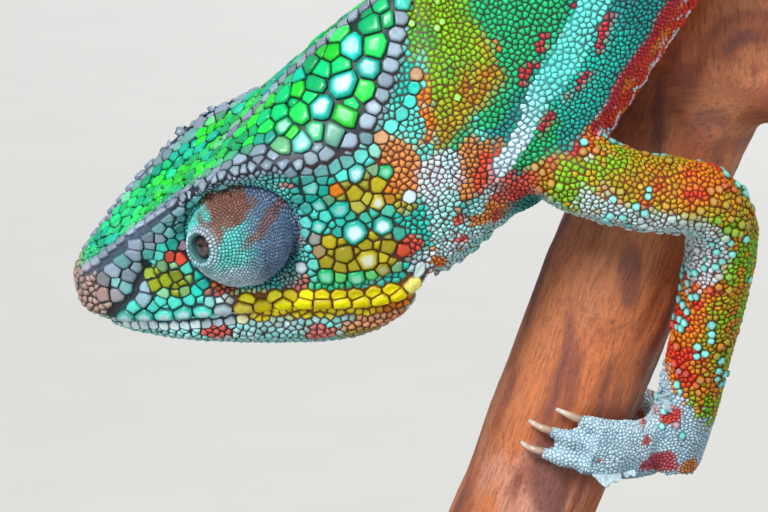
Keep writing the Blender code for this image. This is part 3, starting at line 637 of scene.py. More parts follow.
def head_colours(where):
    """Colour of head and jaw, and how dark their grooves are."""
    x, y, z = where["head"].T
    points = where["points"]
    side = np.abs(y)
    crest_width, crest_height = crest(x)
    rise = z - crest_height
    lip = lip_height(x)
    above = on_roof(where)
    rough = noise(points, 1.6, 3)
    broad = noise(points, 5.0, 5)
    spotty = noise(points, 1.5, 9)
    # side of the head
    face = blended("cyan", "teal", ease(-0.6, 0.4, broad + 0.4 * spotty))
    snout = (1 - ease(8.0, 10.5, x + 0.7 * rough)) * ease(2.6, 4.0, z)
    canthus = ease(-5.2, -3.6, rise + 0.5 * rough) * (1 - ease(14.5, 17.0, x))
    greyish = blended("lilac", "teal", 0.45 * ease(0.1, 0.5, spotty))
    face = mix(face, greyish, 0.92 * np.maximum(snout, canthus))
    face = lay_marks(face, x, z, FACE_MARKS, 0.16 * rough)
    orbit = from_eye(x, z)
    labial = layered(
        blended("teal", "cyan", 0.7),
        ("white", ease(15.0, 18.0, x)),
        ("yellow", ease(17.5, 20.5, x + 1.2 * rough)),
        ("white", ease(41.0, 43.0, x + rough)),
    )
    face = layered(
        face,
        (blended("cyan", "lid", 0.35), 0.85 * hill(orbit - 8.2, 1.2) * ease(19.0, 23.0, x)),
        ("lid", 0.92 * (1 - ease(6.9, 7.7, orbit))),
        (labial, (1 - ease(3.0, 3.5, z - lip)) * ease(3.0, 5.5, x)),
    )
    # roof, crests and the tip of the snout
    roof = layered(
        blended("emerald", "green", ease(-0.2, 0.2, 0.7 * spotty + 0.6 * broad)),
        ("teal", ease(0.1, 0.35, noise(points, 1.9, 6)) * 0.85),
        ("teal", 0.5 * (1 - ease(7, 13, x))),
    )
    inner = ease(0.0, 1.0, crest_width - side + 2.4) * ease(0.55, 0.8, side / crest_width)
    ridge = hill(rise + 0.2, 1.7) * inner
    ridge = np.maximum(ridge, hill(side, 1.0) * ease(20.0, 24.0, x) * above)
    nose = hill(x - 0.5, 3.0) * (1 - ease(6.5, 9.0, z)) * ease(-1.0, 1.0, z - lip)
    # under the lips
    lower = layered(
        blended("white", "yellow", ease(18.5, 21.0, x + rough)),
        ("orange", ease(35.0, 37.5, x)),
    )
    chin = lay_marks(blended("white", "cyan", 0.55 + 0.4 * rough), x, z, CHIN_MARKS, 0.25 * rough)
    chin = mix(chin, lower, 1 - ease(1.2, 1.6, lip - z))
    colours = layered(
        np.where(above[:, None], roof, face),
        ("lilac", np.clip(1.25 * ridge, 0, 0.95)),
        ("pink", np.clip(1.1 * nose, 0, 0.9)),
        (chin, ease(-0.1, 0.1, lip - z) * (x < 46)),
    )
    warm = ease(17.5, 20.5, x) * (z < lip + 3.4) + ease(30, 33, x) * ~above
    under_crest = hill(rise + 1.3, 1.5) * (1 - ease(13.0, 16.0, x)) * (side > 1.5)
    dark = 1.0 - 0.6 * np.clip(warm, 0, 1)
    return colours, dark + 0.9 * np.clip(1.5 * under_crest, 0, 1)


# The pale stripe along the flank: station, place from back to belly, half width
STRIPE = np.array([
    (2.0, 0.775, 0.03), (2.3, 0.755, 0.036), (2.83, 0.69, 0.043), (3.2, 0.662, 0.05), (3.75, 0.668, 0.056),
    (4.15, 0.66, 0.046), (5.5, 0.64, 0.04), (8, 0.6, 0.035), (11, 0.55, 0.03),
])
# Marks of neck and shoulder: station, place from back to belly, half sizes, colour, strength
FLANK_MARKS = [
    (1.6, 0.69, 0.75, 0.10, "orange", 0.85),
    (2.0, 0.77, 0.45, 0.08, "red", 0.85),
    (2.75, 0.76, 0.42, 0.085, "emerald", 1.0),
    (2.12, 0.60, 0.12, 0.05, "cyan", 0.85),
    (3.05, 0.585, 0.14, 0.02, "crimson", 0.95),
    (3.4, 0.565, 0.12, 0.018, "crimson", 0.95),
    (2.9, 0.45, 0.10, 0.016, "orange", 0.9),
    (2.35, 0.60, 0.30, 0.035, "emerald", 0.9),
    (2.55, 0.87, 0.5, 0.05, "red", 0.85),
    (3.45, 0.90, 0.25, 0.03, "white", 0.8),
]


# Bars of the trunk: station where they begin, and stations from one to the next
FIRST_BAR = 2.2
BAR_SPACING = 2.9
SHOULDER_PATCH = (-27.8, 101.2)  # x, z of the pale patch before the shoulder


def across_stripe(station, down):
    """Place across the pale stripe, from -1 to 1 on it."""
    middle, half = (np.interp(station, STRIPE[:, 0], STRIPE[:, k]) for k in (1, 2))
    return (down - middle) / half


def trunk_colours(where):
    """Colour of neck and trunk, and how dark their grooves are."""
    station, down, points = where["along"], where["down"], where["points"]
    rough = noise(points, 2.0, 12)
    fine = noise(points, 1.1, 14)
    place = station + 0.10 * rough
    depth = down + 0.012 * rough
    # bars over the ground colour
    bars = 0.5 + 0.5 * ripples(np.maximum(place, FIRST_BAR) - FIRST_BAR, BAR_SPACING)
    lime = layered(
        blended("lime", "leaf", 0.6 * ease(0.0, 0.6, noise(points, 3.5, 15))),
        (
            blended("olive", "brown", ease(-0.1, 0.5, fine + 0.5 * rough)),
            ease(0.36, 0.47, depth + 0.07 * fine),
        ),
    )
    bright = ease(0.55, 0.8, 1 - bars) * ease(0.58, 0.66, depth) * (1 - ease(0.8, 0.9, depth))
    ground = layered(blended("emerald", "deep", ease(0.55, 0.66, depth)), ("teal", bright))
    bar = ease(0.55, 0.75, bars) * (1 - ease(0.52, 0.58, depth))
    nape = (1 - ease(0.35, 0.9, place)) * ease(0.14, 0.24, depth)
    colours = layered(
        ground,
        (lime, bar),
        (blended("orange", "cyan", ease(-0.3, 0.1, fine + 0.5 * rough)), nape),
    )
    colours = lay_marks(colours, station, down, FLANK_MARKS, 0.22 * fine)
    # throat and chest, and the red edge of the belly
    chest = ease(0.60, 0.66, depth + 0.10 * (0.9 - place)) * (1 - ease(0.9, 1.2, place))
    chest = np.maximum(chest, ease(0.78, 0.83, depth) * (1 - ease(1.9, 2.3, place)))
    throat = layered(
        blended("white", "cyan", 0.6 * ease(-0.4, 0.6, noise(points, 5.0, 13))),
        ("red", ease(0.25, 0.4, noise(points, 2.6, 17)) * 0.9),
        ("orange", ease(0.35, 0.5, noise(points, 1.9, 18)) * 0.9),
    )
    edge = ease(0.865, 0.885, depth) * ease(2.5, 3.0, place)
    fringe = layered(
        blended("crimson", "red", ease(0.89, 0.93, down)),
        ("white", ease(0.15, 0.35, fine) * ease(0.90, 0.94, down)),
        ("orange", ease(0.3, 0.45, noise(points, 1.7, 23)) * 0.8),
    )
    # the pale stripe, with crimson spots on both sides of it
    off = across_stripe(station, down)
    streaks = hill(off - 1.5, 0.4) * ease(-0.1, 0.2, noise(points, 2.4, 16)) * ease(2.2, 2.5, place)
    streaks += hill(off + 1.3, 0.25) * ease(0.4, 0.6, noise(points, 1.8, 19)) * ease(2.4, 2.8, place)
    stripe = 1 - ease(0.92, 1.08, np.abs(off) + 0.14 * rough)
    stripe *= ease(2.0, 2.25, place) * (1 - ease(9.5, 11.0, station))
    pale = mix(palette("cyan") * 1.15, palette("white") * 1.1, 0.08 + 0.9 * ease(3.3, 2.5, station))
    shoulder = np.hypot(points[:, 0] - SHOULDER_PATCH[0], points[:, 2] - SHOULDER_PATCH[1])
    colours = layered(
        colours,
        (throat, chest),
        (fringe, edge),
        ("crimson", np.clip(1.2 * streaks, 0, 1)),
        (pale, stripe),
        ("white", 0.85 * (1 - ease(2.0, 3.2, shoulder + 0.6 * rough))),
    )
    warm = np.maximum(np.maximum(bar, nape), np.maximum(chest, edge))
    return colours, (0.95 - 0.8 * warm) * (1 - stripe) + 2.0 * stripe


def tail_colours(where):
    reach, points = where["reach"], where["points"]
    rings = 0.5 + 0.5 * ripples(reach + 1.2 * noise(points, 2.0, 31), 19.0)
    colours = layered(
        blended("leaf", "lime", ease(0.35, 0.65, rings)),
        ("deep", hill(rings - 0.1, 0.18) * 0.8),
        ("orange", 0.7 * hill(rings - 0.95, 0.16) * ease(-0.2, 0.5, noise(points, 1.4, 33))),
        ("cyan", 0.6 * hill(rings - 0.45, 0.10)),
    )
    return colours, 0.6


def past_elbow(where):
    """Distance over the skin beyond elbow or knee, in millimetres."""
    names, reach = where["names"], where["reach"]
    start = np.zeros(len(names))
    for lower, distance in STATE["elbows"].items():
        limb, side = lower.split("_")[0], lower.split("_")[-1]
        start[where_named(names, limb) & where_named(names, side)] = distance
    return reach - start


def footness(where):
    """How far the fine pale scales of the feet reach up the inner side of the legs."""
    front = -where["normals"][:, 0]
    rough = noise(where["points"], 1.6, 44)
    return ease(-0.8, 0.8, past_elbow(where) - 24.5 - 5.0 * (0.55 - front) + rough)


def leg_colours(where):
    """Colour of the legs down to the wrists, and how dark their grooves are."""
    points, names, normals = where["points"], where["names"], where["normals"]
    past = past_elbow(where)
    rough = noise(points, 1.8, 41)
    fine = noise(points, 1.1, 42)
    front, up = -normals[:, 0], normals[:, 2]
    lower = where_named(names, "lower", "shank").astype(float)
    warm = blended("orange", "red", ease(-0.2, 0.3, rough))
    elbow = np.clip(1.3 * hill(past + 0.5, 3.8), 0, 1) * ease(-0.1, 0.3, -front + 0.2 * rough)
    under = ease(0.6, 0.95, -up + 0.3 * rough) * (1 - lower)
    crook = (1 - ease(6.5, 9.0, np.abs(past - 1) + rough)) * ease(-0.15, 0.2, front - 0.4 * up)
    share = footness(where) * lower
    colours = layered(
        blended("olive", "lime", ease(-0.3, 0.3, noise(points, 3.2, 43))),
        ("orange", ease(0.15, 0.45, fine) * (0.5 + 0.3 * lower)),
        (warm, lower * ease(-0.15, 0.25, front + 0.25 * rough)),
        (warm, elbow),
        (blended("white", "cyan", 0.3 * ease(-0.3, 0.5, rough)), 0.9 * np.maximum(under, crook)),
        (trunk_colours(where)[0], 1 - ease(0.5, 4.0, where["reach"] + 1.5 * rough)),
        (foot_colours(where)[0], share),
    )
    return colours, 0.1 + 1.9 * share


# Red marks round the wrist and heel of the left forefoot: x, z, half sizes, colour, strength
WRIST_MARKS = [
    (1.2, 65.4, 1.5, 1.5, "red", 0.95), (0.1, 58.8, 2.2, 1.5, "crimson", 0.9),
    (-1.6, 62.4, 0.6, 0.6, "red", 0.9), (-2.0, 64.6, 0.5, 0.4, "red", 0.8),
    (-7.6, 60.8, 0.3, 0.3, "red", 0.9), (4.2, 57.6, 1.2, 1.4, "orange", 0.9),
]


def foot_colours(where):
    """Colour of the feet, and how dark their grooves are; the left forefoot has marks of its own."""
    points, normals = where["points"], where["normals"]
    shade = np.clip(0.16 + 0.22 * noise(points, 2.4, 51) - 0.3 * normals[:, 2], 0, 1)
    left = where_named(where["names"], "foreleg_lower_left", "forefoot_left")
    spots = ease(0.45, 0.55, noise(points, 2.6, 53)) * ~left
    shadow = palette("lid") * np.array((0.9, 1.25, 1.1))
    colours = layered(mix(palette("white"), shadow, shade), ("red", 0.85 * spots))
    marked = lay_marks(colours, points[:, 0], points[:, 2], WRIST_MARKS, 0.35 * noise(points, 1.2, 54))
    outer = left & (normals[:, 1] < 0.2)
    return np.where(outer[:, None], marked, colours), 2.0


def markings(where):
    """The animal's colours at an array of places, and how dark the skin is between scales."""
    names = where["names"]
    colours = np.zeros((len(names), 3))
    dark = np.zeros(len(names))
    regions = [
        (where_named(names, "head", "jaw"), head_colours),
        (where_named(names, "neck", "trunk"), trunk_colours),
        (where_named(names, "tail"), tail_colours),
        (where_named(names, "leg"), leg_colours),
        (where_named(names, "foot"), foot_colours),
    ]
    for chosen, paint_region in regions:
        if chosen.any():
            colours[chosen], dark[chosen] = paint_region(only(where, chosen))
    return colours, dark


def groove_colours(colours, dark):
    """Colour of the skin between scales: warm at 0, cold and dark at 1, a shade of the scales at 2."""
    warm = colours * np.array((0.30, 0.09, 0.08)) + np.array((0.045, 0.004, 0.0))
    cool = mix(0.16 * colours, palette("groove"), 0.6)
    pale = colours * np.array((0.40, 0.48, 0.56))
    return mix(mix(warm, cool, np.clip(dark, 0, 1)), pale, np.clip(dark - 1, 0, 1))


# Skin and lids --------------------
STATE = {}  # what one operator leaves for the next: the body, its lids, and where its elbows are


def carve_skin(body, where):
    """Folds and pits of the skin: the line of the lips, nostrils, the crease from nostril to lip, rings
    round the eyes, folds of the throat, ribs, and wrinkles of the feet.
    """
    points, normals = body.surface.points, body.surface.normals
    x, y, z = in_head(points).T
    depth = 0.45 * hill(z - lip_height(x) + 0.10, 0.4) * (x > 0.5) * (x < 42) * (np.abs(y) > 0.5)
    nostril = np.hypot(x - NOSTRIL[0], z - NOSTRIL[1])
    depth += 0.9 * hill(nostril, 0.75) * (np.abs(y) > 3)
    _, gap = line_place(np.stack([x, z], 1), NOSE_FOLD)
    depth += 0.45 * hill(gap, 0.6) * (np.abs(y) > 1.5)
    orbit = from_eye(x, z)
    rings = ripples(orbit - 7.3, 0.9)
    depth += (0.35 * hill(orbit - 7.4, 0.5) + 0.10 * rings * hill(orbit - 8.1, 0.9)) * (np.abs(y) > 5)
    depth *= body.on("head", "jaw")
    station, down = where["along"], where["down"]
    trunk = body.on("trunk", "neck")
    ribs = ripples(station, 0.55)
    flank = ease(0.15, 0.3, down) * (1 - ease(0.7, 0.85, down)) * ease(2.5, 3.5, station)
    depth += 0.14 * trunk * ribs * flank
    folds = ripples(station - 4.0 * down, 0.42)
    depth += 0.24 * trunk * folds * ease(0.66, 0.8, down) * (1 - ease(1.8, 3.2, station))
    gathers = ripples(station + 1.5 * down, 0.24)
    depth += 0.16 * trunk * gathers * ease(0.88, 0.94, down) * ease(2.4, 3.2, station)
    wrinkles = noise(points * (0.35, 1.0, 1.0), 1.3, 55)
    depth += 0.12 * body.on("foot") * ease(0.1, 0.6, wrinkles)
    return points - normals * depth[:, None]


def lid_name(side):
    return f"lid_surface_{side}"


def gaze_frame(side):
    """Centre of an eye in world millimetres, its gaze, and two directions across it."""
    gaze = unit(np.array(GAZES[side]))
    back = unit(AXES[0] - gaze * (AXES[0] @ gaze))
    over = np.cross(gaze, back) * (1 if side == "left" else -1)
    return from_head([eye_middle(side)])[0], gaze, back, over


def lid_places(points, side):
    """Angle from the gaze, and offset from the middle of the eye in the head's axes."""
    centre, gaze, _, _ = gaze_frame(side)
    angle = np.arccos(np.clip(unit(points - centre) @ gaze, -1, 1))
    return angle, in_head(points) - eye_middle(side)


def lid_colours(points, side):
    angle, offsets = lid_places(points, side)
    dx, dz = offsets[:, 0], offsets[:, 2]
    rough = noise(points, 1.0, 61)
    patch = np.hypot((dx + 0.4) / 3.3, (dz - 5.6) / 1.6)
    patch = np.minimum(patch, np.hypot((dx + 3.0) / 1.6, (dz - 3.6) / 1.5))
    streak = np.hypot((dx - 2.4 - 0.5 * dz) / 2.6, (dz - 1.6 - 0.35 * dx) / 0.9)
    rim = hill(angle - math.radians(18), math.radians(5))
    return layered(
        palette("lid"),
        ("cyan", 0.75 * (1 - ease(-1.0, 3.5, dx + rough)) * ease(-3, 0, dz)),
        ("white", 0.75 * (1 - ease(-0.5, 3.0, dx)) * (1 - ease(-2.5, 0.5, dz + rough))),
        ("rust", 0.95 * (1 - ease(0.75, 1.15, patch + 0.3 * rough))),
        ("rust", 0.7 * (1 - ease(0.6, 1.2, streak + 0.4 * rough))),
        (blended("white", "lid", 0.35), 0.8 * rim),
    )


def make_lid_surface(side):
    """A turret-shaped lid: folds run round its rear half and its base flares out to the orbit."""
    piece = copy_nodes([f"eyelid_{side}"], lid_name(side))
    remesh(piece, sizes().lid_voxel)
    smooth(piece, 6)
    points, normals = points_of(piece), normals_of(piece)
    angle, offsets = lid_places(points, side)
    outer = ease(math.radians(14), math.radians(24), angle)
    folds = 0.07 * ripples(angle, math.radians(5.2)) * ease(0.7, 1.1, angle)
    points = points - normals * (outer * (0.16 + folds))[:, None]
    outward = offsets[:, 1] * (1 if side == "left" else -1)
    along, high = unit(offsets[:, ::2]).T
    base = -0.5 + 0.9 * high + 1.0 * along
    across = np.linalg.norm(offsets[:, ::2], axis=1)
    under = base - outward
    flare = np.minimum(np.sqrt(np.maximum(EYE_RADIUS**2 - base**2, 0)) + 1.3 * under, 9.0)
    flare = np.where((under > 0) & (under <= 4.5), flare, across)
    wide = flare / np.maximum(across, 1e-6)
    eye = eye_middle(side)
    moved = in_head(points) - eye
    moved[:, 0] *= wide
    moved[:, 2] *= wide
    wanted = moved + eye
    crest_width, crest_height = crest(wanted[:, 0])
    under_roof = crest_height - 1.4 - 4.5 * np.clip(1 - np.abs(wanted[:, 1]) / crest_width, 0, 1)
    wanted[:, 2] = np.minimum(wanted[:, 2], under_roof)
    move_points(piece, from_head(wanted))
    smooth(piece, 2)
    return piece


def nearest_nodes(names, points, limit=FAR):
    """For each point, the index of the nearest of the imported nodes, and its distance."""
    corners, faces, owners = [], [], []
    for index, name in enumerate(names):
        mesh = Surface(NODES[name])
        faces.append(mesh.faces + sum(len(p) for p in corners))
        corners.append(mesh.points)
        owners.append(np.full(len(mesh.faces), index))
    owners = np.concatenate(owners)
    tree = BVHTree.FromPolygons(np.vstack(corners).tolist(), np.vstack(faces).tolist())
    hits = [tree.find_nearest(p, limit) for p in points.tolist()]
    node = np.array([-1 if hit[2] is None else owners[hit[2]] for hit in hits])
    gap = np.array([limit if hit[3] is None else hit[3] for hit in hits])
    return node, gap


def weight_group(piece, name, weights):
    """A vertex group whose weights go in twentieths."""
    group = piece.vertex_groups.new(name=name)
    steps = np.rint(20 * weights).astype(int)
    for step in range(1, 21):
        group.add(np.flatnonzero(steps == step).tolist(), step / 20, "REPLACE")
    return group.name


def make_skin():
    """One closed skin over all the flesh, drawn in by the depth of the scales, with its lids."""
    settings = sizes()
    piece = copy_nodes(FLESH, "skin")
    finish_with(piece, "DISPLACE", strength=SWELL, mid_level=0.0)
    remesh(piece, settings.skin_voxel)
    _, gap = nearest_nodes(FEET, points_of(piece), 6.0)
    coarse = ease(0.8, 4.5, gap)
    group = weight_group(piece, "coarse", coarse)
    smooth(piece, 1)
    smooth(piece, 14, vertex_group=group)
    depth = (SWELL + settings.foot_depth + (settings.coat_depth - settings.foot_depth) * coarse) / MM
    move_points(piece, points_of(piece) - normals_of(piece) * depth[:, None])
    finish_with(piece, "DECIMATE", ratio=SKIN_KEPT)
    finish_with(piece, "TRIANGULATE")
    body = Body(piece)
    surface = body.surface
    STATE["elbows"] = body.elbows()
    where = places_of(surface.points, surface.normals, body.node, body.reach)
    move_points(piece, carve_skin(body, where))
    body.surface = Surface(piece)
    where = places_of(body.surface.points, body.surface.normals, body.node, body.reach)
    colours, dark = markings(where)
    paint(piece, groove_colours(colours, dark))
    STATE["body"] = body
    lids = []
    for side in SIDES:
        lid = make_lid_surface(side)
        STATE[lid_name(side)] = Surface(lid)
        paint(lid, 0.3 * lid_colours(STATE[lid_name(side)].points, side))
        lids.append(lid)
    select_only(*lids, piece)
    bpy.ops.object.join()
    piece = bpy.context.view_layer.objects.active
    select_only(piece)
    bpy.ops.object.shade_smooth()
    place_piece(piece, "body_skin", skin_material("skin", 0.5, 0.25), *FLESH, *LIDS)


# Materials --------------------
class Nodes:
    """A short way to write a material's nodes."""

    def __init__(self, name):
        self.material = bpy.data.materials.new(name)
        self.material.use_nodes = True
        self.tree = self.material.node_tree
        self.shader = self.tree.nodes["Principled BSDF"]

    def add(self, kind, values=(), **settings):
        node = self.tree.nodes.new("ShaderNode" + kind)
        for key, value in settings.items():
            setattr(node, key, value)
        for socket, value in dict(values).items():
            if isinstance(value, bpy.types.NodeSocket):
                self.tree.links.new(value, node.inputs[socket])
            else:
                node.inputs[socket].default_value = value
        return node

    def place(self):
        return self.add("TexCoord").outputs["Object"]

    def attribute(self, name, output="Color"):
        return self.add("Attribute", attribute_name=name).outputs[output]

    def grey(self, value):
        """A grey colour from one value."""
        return self.add("CombineColor", {"Red": value, "Green": value, "Blue": value}).outputs["Color"]

    def noise(self, place, scale, detail=3.0, roughness=0.55):
        values = {"Vector": place, "Scale": scale, "Detail": detail, "Roughness": roughness}
        return self.add("TexNoise", values).outputs["Fac"]

    def mapped(self, value, low, high, to_low=0.0, to_high=1.0):
        values = {"Value": value, "From Min": low, "From Max": high, "To Min": to_low, "To Max": to_high}
        return self.add("MapRange", values).outputs["Result"]

    def blend(self, share, first, second, blend_type="MIX"):
        node = self.add("Mix", data_type="RGBA", blend_type=blend_type)
        for index, value in ((0, share), (6, first), (7, second)):
            if isinstance(value, bpy.types.NodeSocket):
                self.tree.links.new(value, node.inputs[index])
            elif index == 0:
                node.inputs[index].default_value = value
            else:
                node.inputs[index].default_value = (*value, 1.0)
        return node.outputs[2]

    def bump(self, height, strength, distance):
        values = {"Height": height, "Strength": strength, "Distance": distance * MM}
        self.link(self.add("Bump", values).outputs["Normal"], "Normal")

    def link(self, output, socket):
        self.tree.links.new(output, self.shader.inputs[socket])

    def set(self, **values):
        for key, value in values.items():
            self.shader.inputs[key.replace("_", " ")].default_value = value


def skin_material(name, roughness, wear):
    """Skin or scales: the painted markings, faintly mottled, with a satin surface."""
    m = Nodes(name)
    place = m.place()
    marks = m.attribute(MARKINGS)
    mottle = m.mapped(m.noise(place, 2600.0, 2.0), 0.3, 0.7, 1.0 - wear, 1.0 + 0.5 * wear)
    m.link(m.blend(1.0, marks, m.grey(mottle), "MULTIPLY"), "Base Color")
    m.link(m.mapped(m.noise(place, 900.0), 0.3, 0.7, roughness - 0.07, roughness + 0.1), "Roughness")
    m.bump(m.noise(place, 5200.0, 2.0), 0.25, 0.05)
    m.set(Specular_IOR_Level=0.45)
    return m.material


# Scales --------------------
# Large plates of the casque and the cheeks: place back, height, width, colour, and pale centre: partly the
# plate's own pale centre, partly a painted highlight on its top
BOSSES = [
    (40.5, 30.7, 3.0, "teal", 0.6), (42.2, 28.6, 2.3, "teal", 0.4), (38.8, 27.4, 3.3, "teal", 0.8),
    (35.2, 25.3, 2.6, "teal", 0.5), (30.4, 23.6, 2.3, "emerald", 0.5), (38.2, 24.2, 2.4, "green", 0.2),
    (41.8, 24.4, 1.9, "lilac", 0.5), (36.1, 9.4, 3.4, "teal", 1.0), (39.6, 9.5, 2.7, "teal", 1.0),
    (35.0, 12.7, 2.5, "teal", 0.3), (32.5, 13.8, 1.9, "teal", 0.5), (31.9, 10.8, 1.9, "teal", 0.5),
    (32.2, 16.4, 1.9, "cyan", 0.4), (37.8, 17.2, 2.3, "cyan", 0.9), (35.0, 15.5, 1.9, "orange", 0.0),
    (34.2, 6.6, 2.5, "olive", 0.0), (36.9, 5.4, 2.9, "olive", 0.5), (31.8, 6.0, 1.8, "olive", 0.0),
    (32.8, 8.6, 1.9, "olive", 0.0), (40.2, 15.0, 2.0, "olive", 0.0), (37.2, 14.4, 2.1, "olive", 0.0),
    (39.7, 12.6, 1.9, "olive", 0.6), (41.4, 16.3, 2.0, "emerald", 0.3), (43.6, 12.4, 1.9, "white", 0.4),
    (31.4, 3.9, 2.2, "emerald", 0.3), (35.0, 3.1, 2.2, "emerald", 0.4), (38.4, 3.6, 2.0, "olive", 0.2),
    (28.6, 5.4, 1.8, "white", 0.5), (37.0, 7.4, 1.9, "olive", 0.0), (39.6, 6.6, 1.8, "olive", 0.0),
]


def head_rows():
    """Rows of plates on the left of the head: points, spacing at each end, half height, dome, how far
    they lean up from the skin, and whether the foremost have pale centres with a painted highlight."""
    x = np.array((1.5, 4, 8, 13, 20, 26, 31, 36, 40, 43.5))
    y = np.array((2.4, 3.9, 5.8, 7.6, 9.1, 9.9, 10.3, 10.4, 10.2, 9.6))
    lip = np.stack([x, y, lip_height(x)], 1)
    up = np.array((0.0, 0.0, 1.0))
    canthus, brow, rear = CREST_LINE[1:5], CREST_LINE[4:8], CREST_LINE[7:]
    below = np.array(((0.8, 0.4, -1.9), (1.2, 0.5, -1.9), (1.9, 0.9, -1.4), (2.1, 1.6, -0.9)))
    rear_low = CREST_LINE[7:11] + below
    middle = [(25, 0, 22.5), (29, 0, 26.0), (34, 0, 29.6), (40, 0, 33.5), (46, 0, 36.6)]
    return [
        (lip[1:] + 1.02 * up, 2.7, 2.3, 1.1, 0.2, 0.0, True),
        (lip[4:] + 2.65 * up, 1.8, 2.4, 0.75, 0.16, 0.0, False),
        (lip[:-1] - 0.82 * up, 1.3, 1.9, 0.7, 0.2, 0.0, False),
        (canthus, 1.8, 2.0, 0.95, 0.2, 0.5, False),
        (brow, 0.95, 1.05, 0.75, 0.2, 1.0, False),
        (rear, 1.7, 2.1, 1.0, 0.2, 0.6, False),
        (rear_low, 1.8, 1.8, 0.9, 0.16, 0.0, False),
        (middle, 1.6, 1.9, 0.9, 0.22, 0.3, False),
    ]


def scale_width(where):
    """Width of a scale at each place, in millimetres."""
    names, points = where["names"], where["points"]
    x, _, z = where["head"].T
    settings = sizes()
    width = settings.trunk_scale / MM * np.interp(where["along"], (4.6, 6.5), (1.0, 1.42))
    stripe = 1 - ease(0.8, 1.1, np.abs(across_stripe(where["along"], where["down"])))
    width *= 1 + 0.2 * stripe
    width *= 1 - 0.15 * hill(where["down"] - 0.92, 0.05)
    tail = where_named(names, "tail")
    width[tail] = 1.3 * settings.trunk_scale / MM
    legs = where_named(names, "leg")
    width[legs] = settings.leg_scale / MM * np.where(where_named(names[legs], "hind"), 1.2, 1.0)
    lowers = where_named(names, "lower", "shank")
    finer = 1 - settings.foot_scale / settings.leg_scale
    width[lowers] *= 1 - finer * footness(only(where, lowers))
    feet = where_named(names, "foot")
    width[feet] = settings.foot_scale / MM * np.where(where_named(names[feet], "forefoot_left"), 1.0, 1.25)
    width[tail] *= 1 - 0.35 * ease(120, 260, where["reach"][tail])
    head = where_named(names, "head")
    roof = head & on_roof(where)
    size = 0.95 + 0.25 * noise(points, 2.5, 71)
    size = np.where(roof, np.interp(x, (2, 10, 24, 30, 45), (1.2, 1.5, 1.5, 2.05, 2.2)), size)
    orbit = from_eye(x, z)
    size = np.where(~roof, size * np.interp(orbit, (6.6, 8.4, 10.5), (0.5, 0.65, 1.0)), size)
    size = np.where(~roof & (x > 30) & (x < 42) & (z > 3), np.maximum(size, 1.35), size)
    size = np.where(~roof & (x < 10), np.maximum(size, 1.7), size)
    size = np.where(~roof & (x >= 10) & (x < 17), np.maximum(size, 1.3), size)
    size = np.where(~roof & (x > 41.5), 0.72, size)
    size = np.where(x < 3.0, 0.85, size)
    width[head] = size[head]
    jaw = where_named(names, "jaw")
    width[jaw] = 0.82
    return width


def grow_tubercles(where, width, generator):
    """Widens a few granules into tubercles on the legs and the neck; returns which."""
    names, points = where["names"], where["points"]
    legs = where_named(names, "leg")
    groups = np.zeros(len(names))
    bare = footness(only(where, legs)) * 0.75
    groups[legs] = ease(-0.05, 0.15, noise(points[legs], 3.4, 46)) * (1 - bare)
    neck = where_named(names, "neck", "trunk_front") & (where["down"] < 0.5)
    groups[neck] = 0.35 * ease(0.0, 0.3, noise(points[neck], 6.0, 47))
    raised = generator.random(len(names)) < TUBERCLES * groups
    width[raised] = generator.uniform(0.72, 1.18, raised.sum())
    return raised


def seed_rows(points, faces, width, clear, dome, tint_row=-1.0, glow=0.0, kind=LOOSE, lift=0.0):
    """Seeds of scales as arrays: place, triangle, width, the width kept clear of others, dome as a
    share of the width, tint (below 0 for none), pale centre with a painted highlight, kind, and lean up from
    the skin."""
    values = {
        "point": points, "face": faces, "width": width, "clear": clear, "dome": dome, "tint": tint_row,
        "glow": glow, "kind": kind, "lift": lift,
    }
    shapes = {"point": (len(points), 3), "tint": (len(points), 3)}
    return {
        key: np.array(np.broadcast_to(value, shapes.get(key, len(points))), float)
        for key, value in values.items()
    }


def joined(rows):
    return {key: np.concatenate([row[key] for row in rows]) for key in rows[0]}


def on_side(surface, x, z, sign):
    """The place and the triangle on one side of the head."""
    start = from_head([(x, sign * RAY_START, z)])
    points, _, faces = surface.struck(start, -sign * AXES[1:2])
    return points, faces


def fixed_seeds(surface):
    """The plates that have their own places on the head, and the places without any, of no width."""
    rows = []
    for sign in (1, -1):
        fold = spaced([(x, 0.0, z) for x, z in NOSE_FOLD], 0.5, 0.5)
        for x, z, clear in [(*NOSTRIL, 1.2)] + [(x, z, 0.4) for x, _, z in fold]:
            rows.append(seed_rows(*on_side(surface, x, z, sign), 0.0, clear, 0.0))
        for x, z, width, colour, bright in BOSSES:
            place = on_side(surface, x, z, sign)
            rows.append(seed_rows(*place, width, width * 0.95, 0.22, palette(colour), bright))
        for line, first, last, half, dome, lift, pale_centred_and_highlighted in head_rows():
            if abs(line[0][1]) < 0.1 and sign < 0:
                continue
            places = spaced(line, first, last) * np.array((1, sign, 1))
            points, _, faces = surface.nearest(from_head(places))
            width = first + (last - first) * np.linspace(0, 1, len(points))
            # The foremost lip plates get pale centres with a painted highlight
            glow = 0.85 * (places[:, 0] < 17.5) if pale_centred_and_highlighted else 0.0
            row = seed_rows(points, faces, width, 2 * half, dome, glow=glow, kind=IN_ROW, lift=lift)
            rows.append(row)
    return joined(rows)


def clear_of_rows(points, width):
    """Whether random places leave the rows of the head their full height."""
    head = in_head(points)
    head[:, 1] = np.abs(head[:, 1])
    clear = np.ones(len(points), bool)
    near = (head[:, 0] < 52) & (head[:, 2] > -6)
    for line, _, _, half, *_ in head_rows():
        _, gap = line_place(head[near], smooth_line(line, 4))
        clear[near] &= gap > ROW_ROOM * (half + 0.5 * width[near])
    return clear


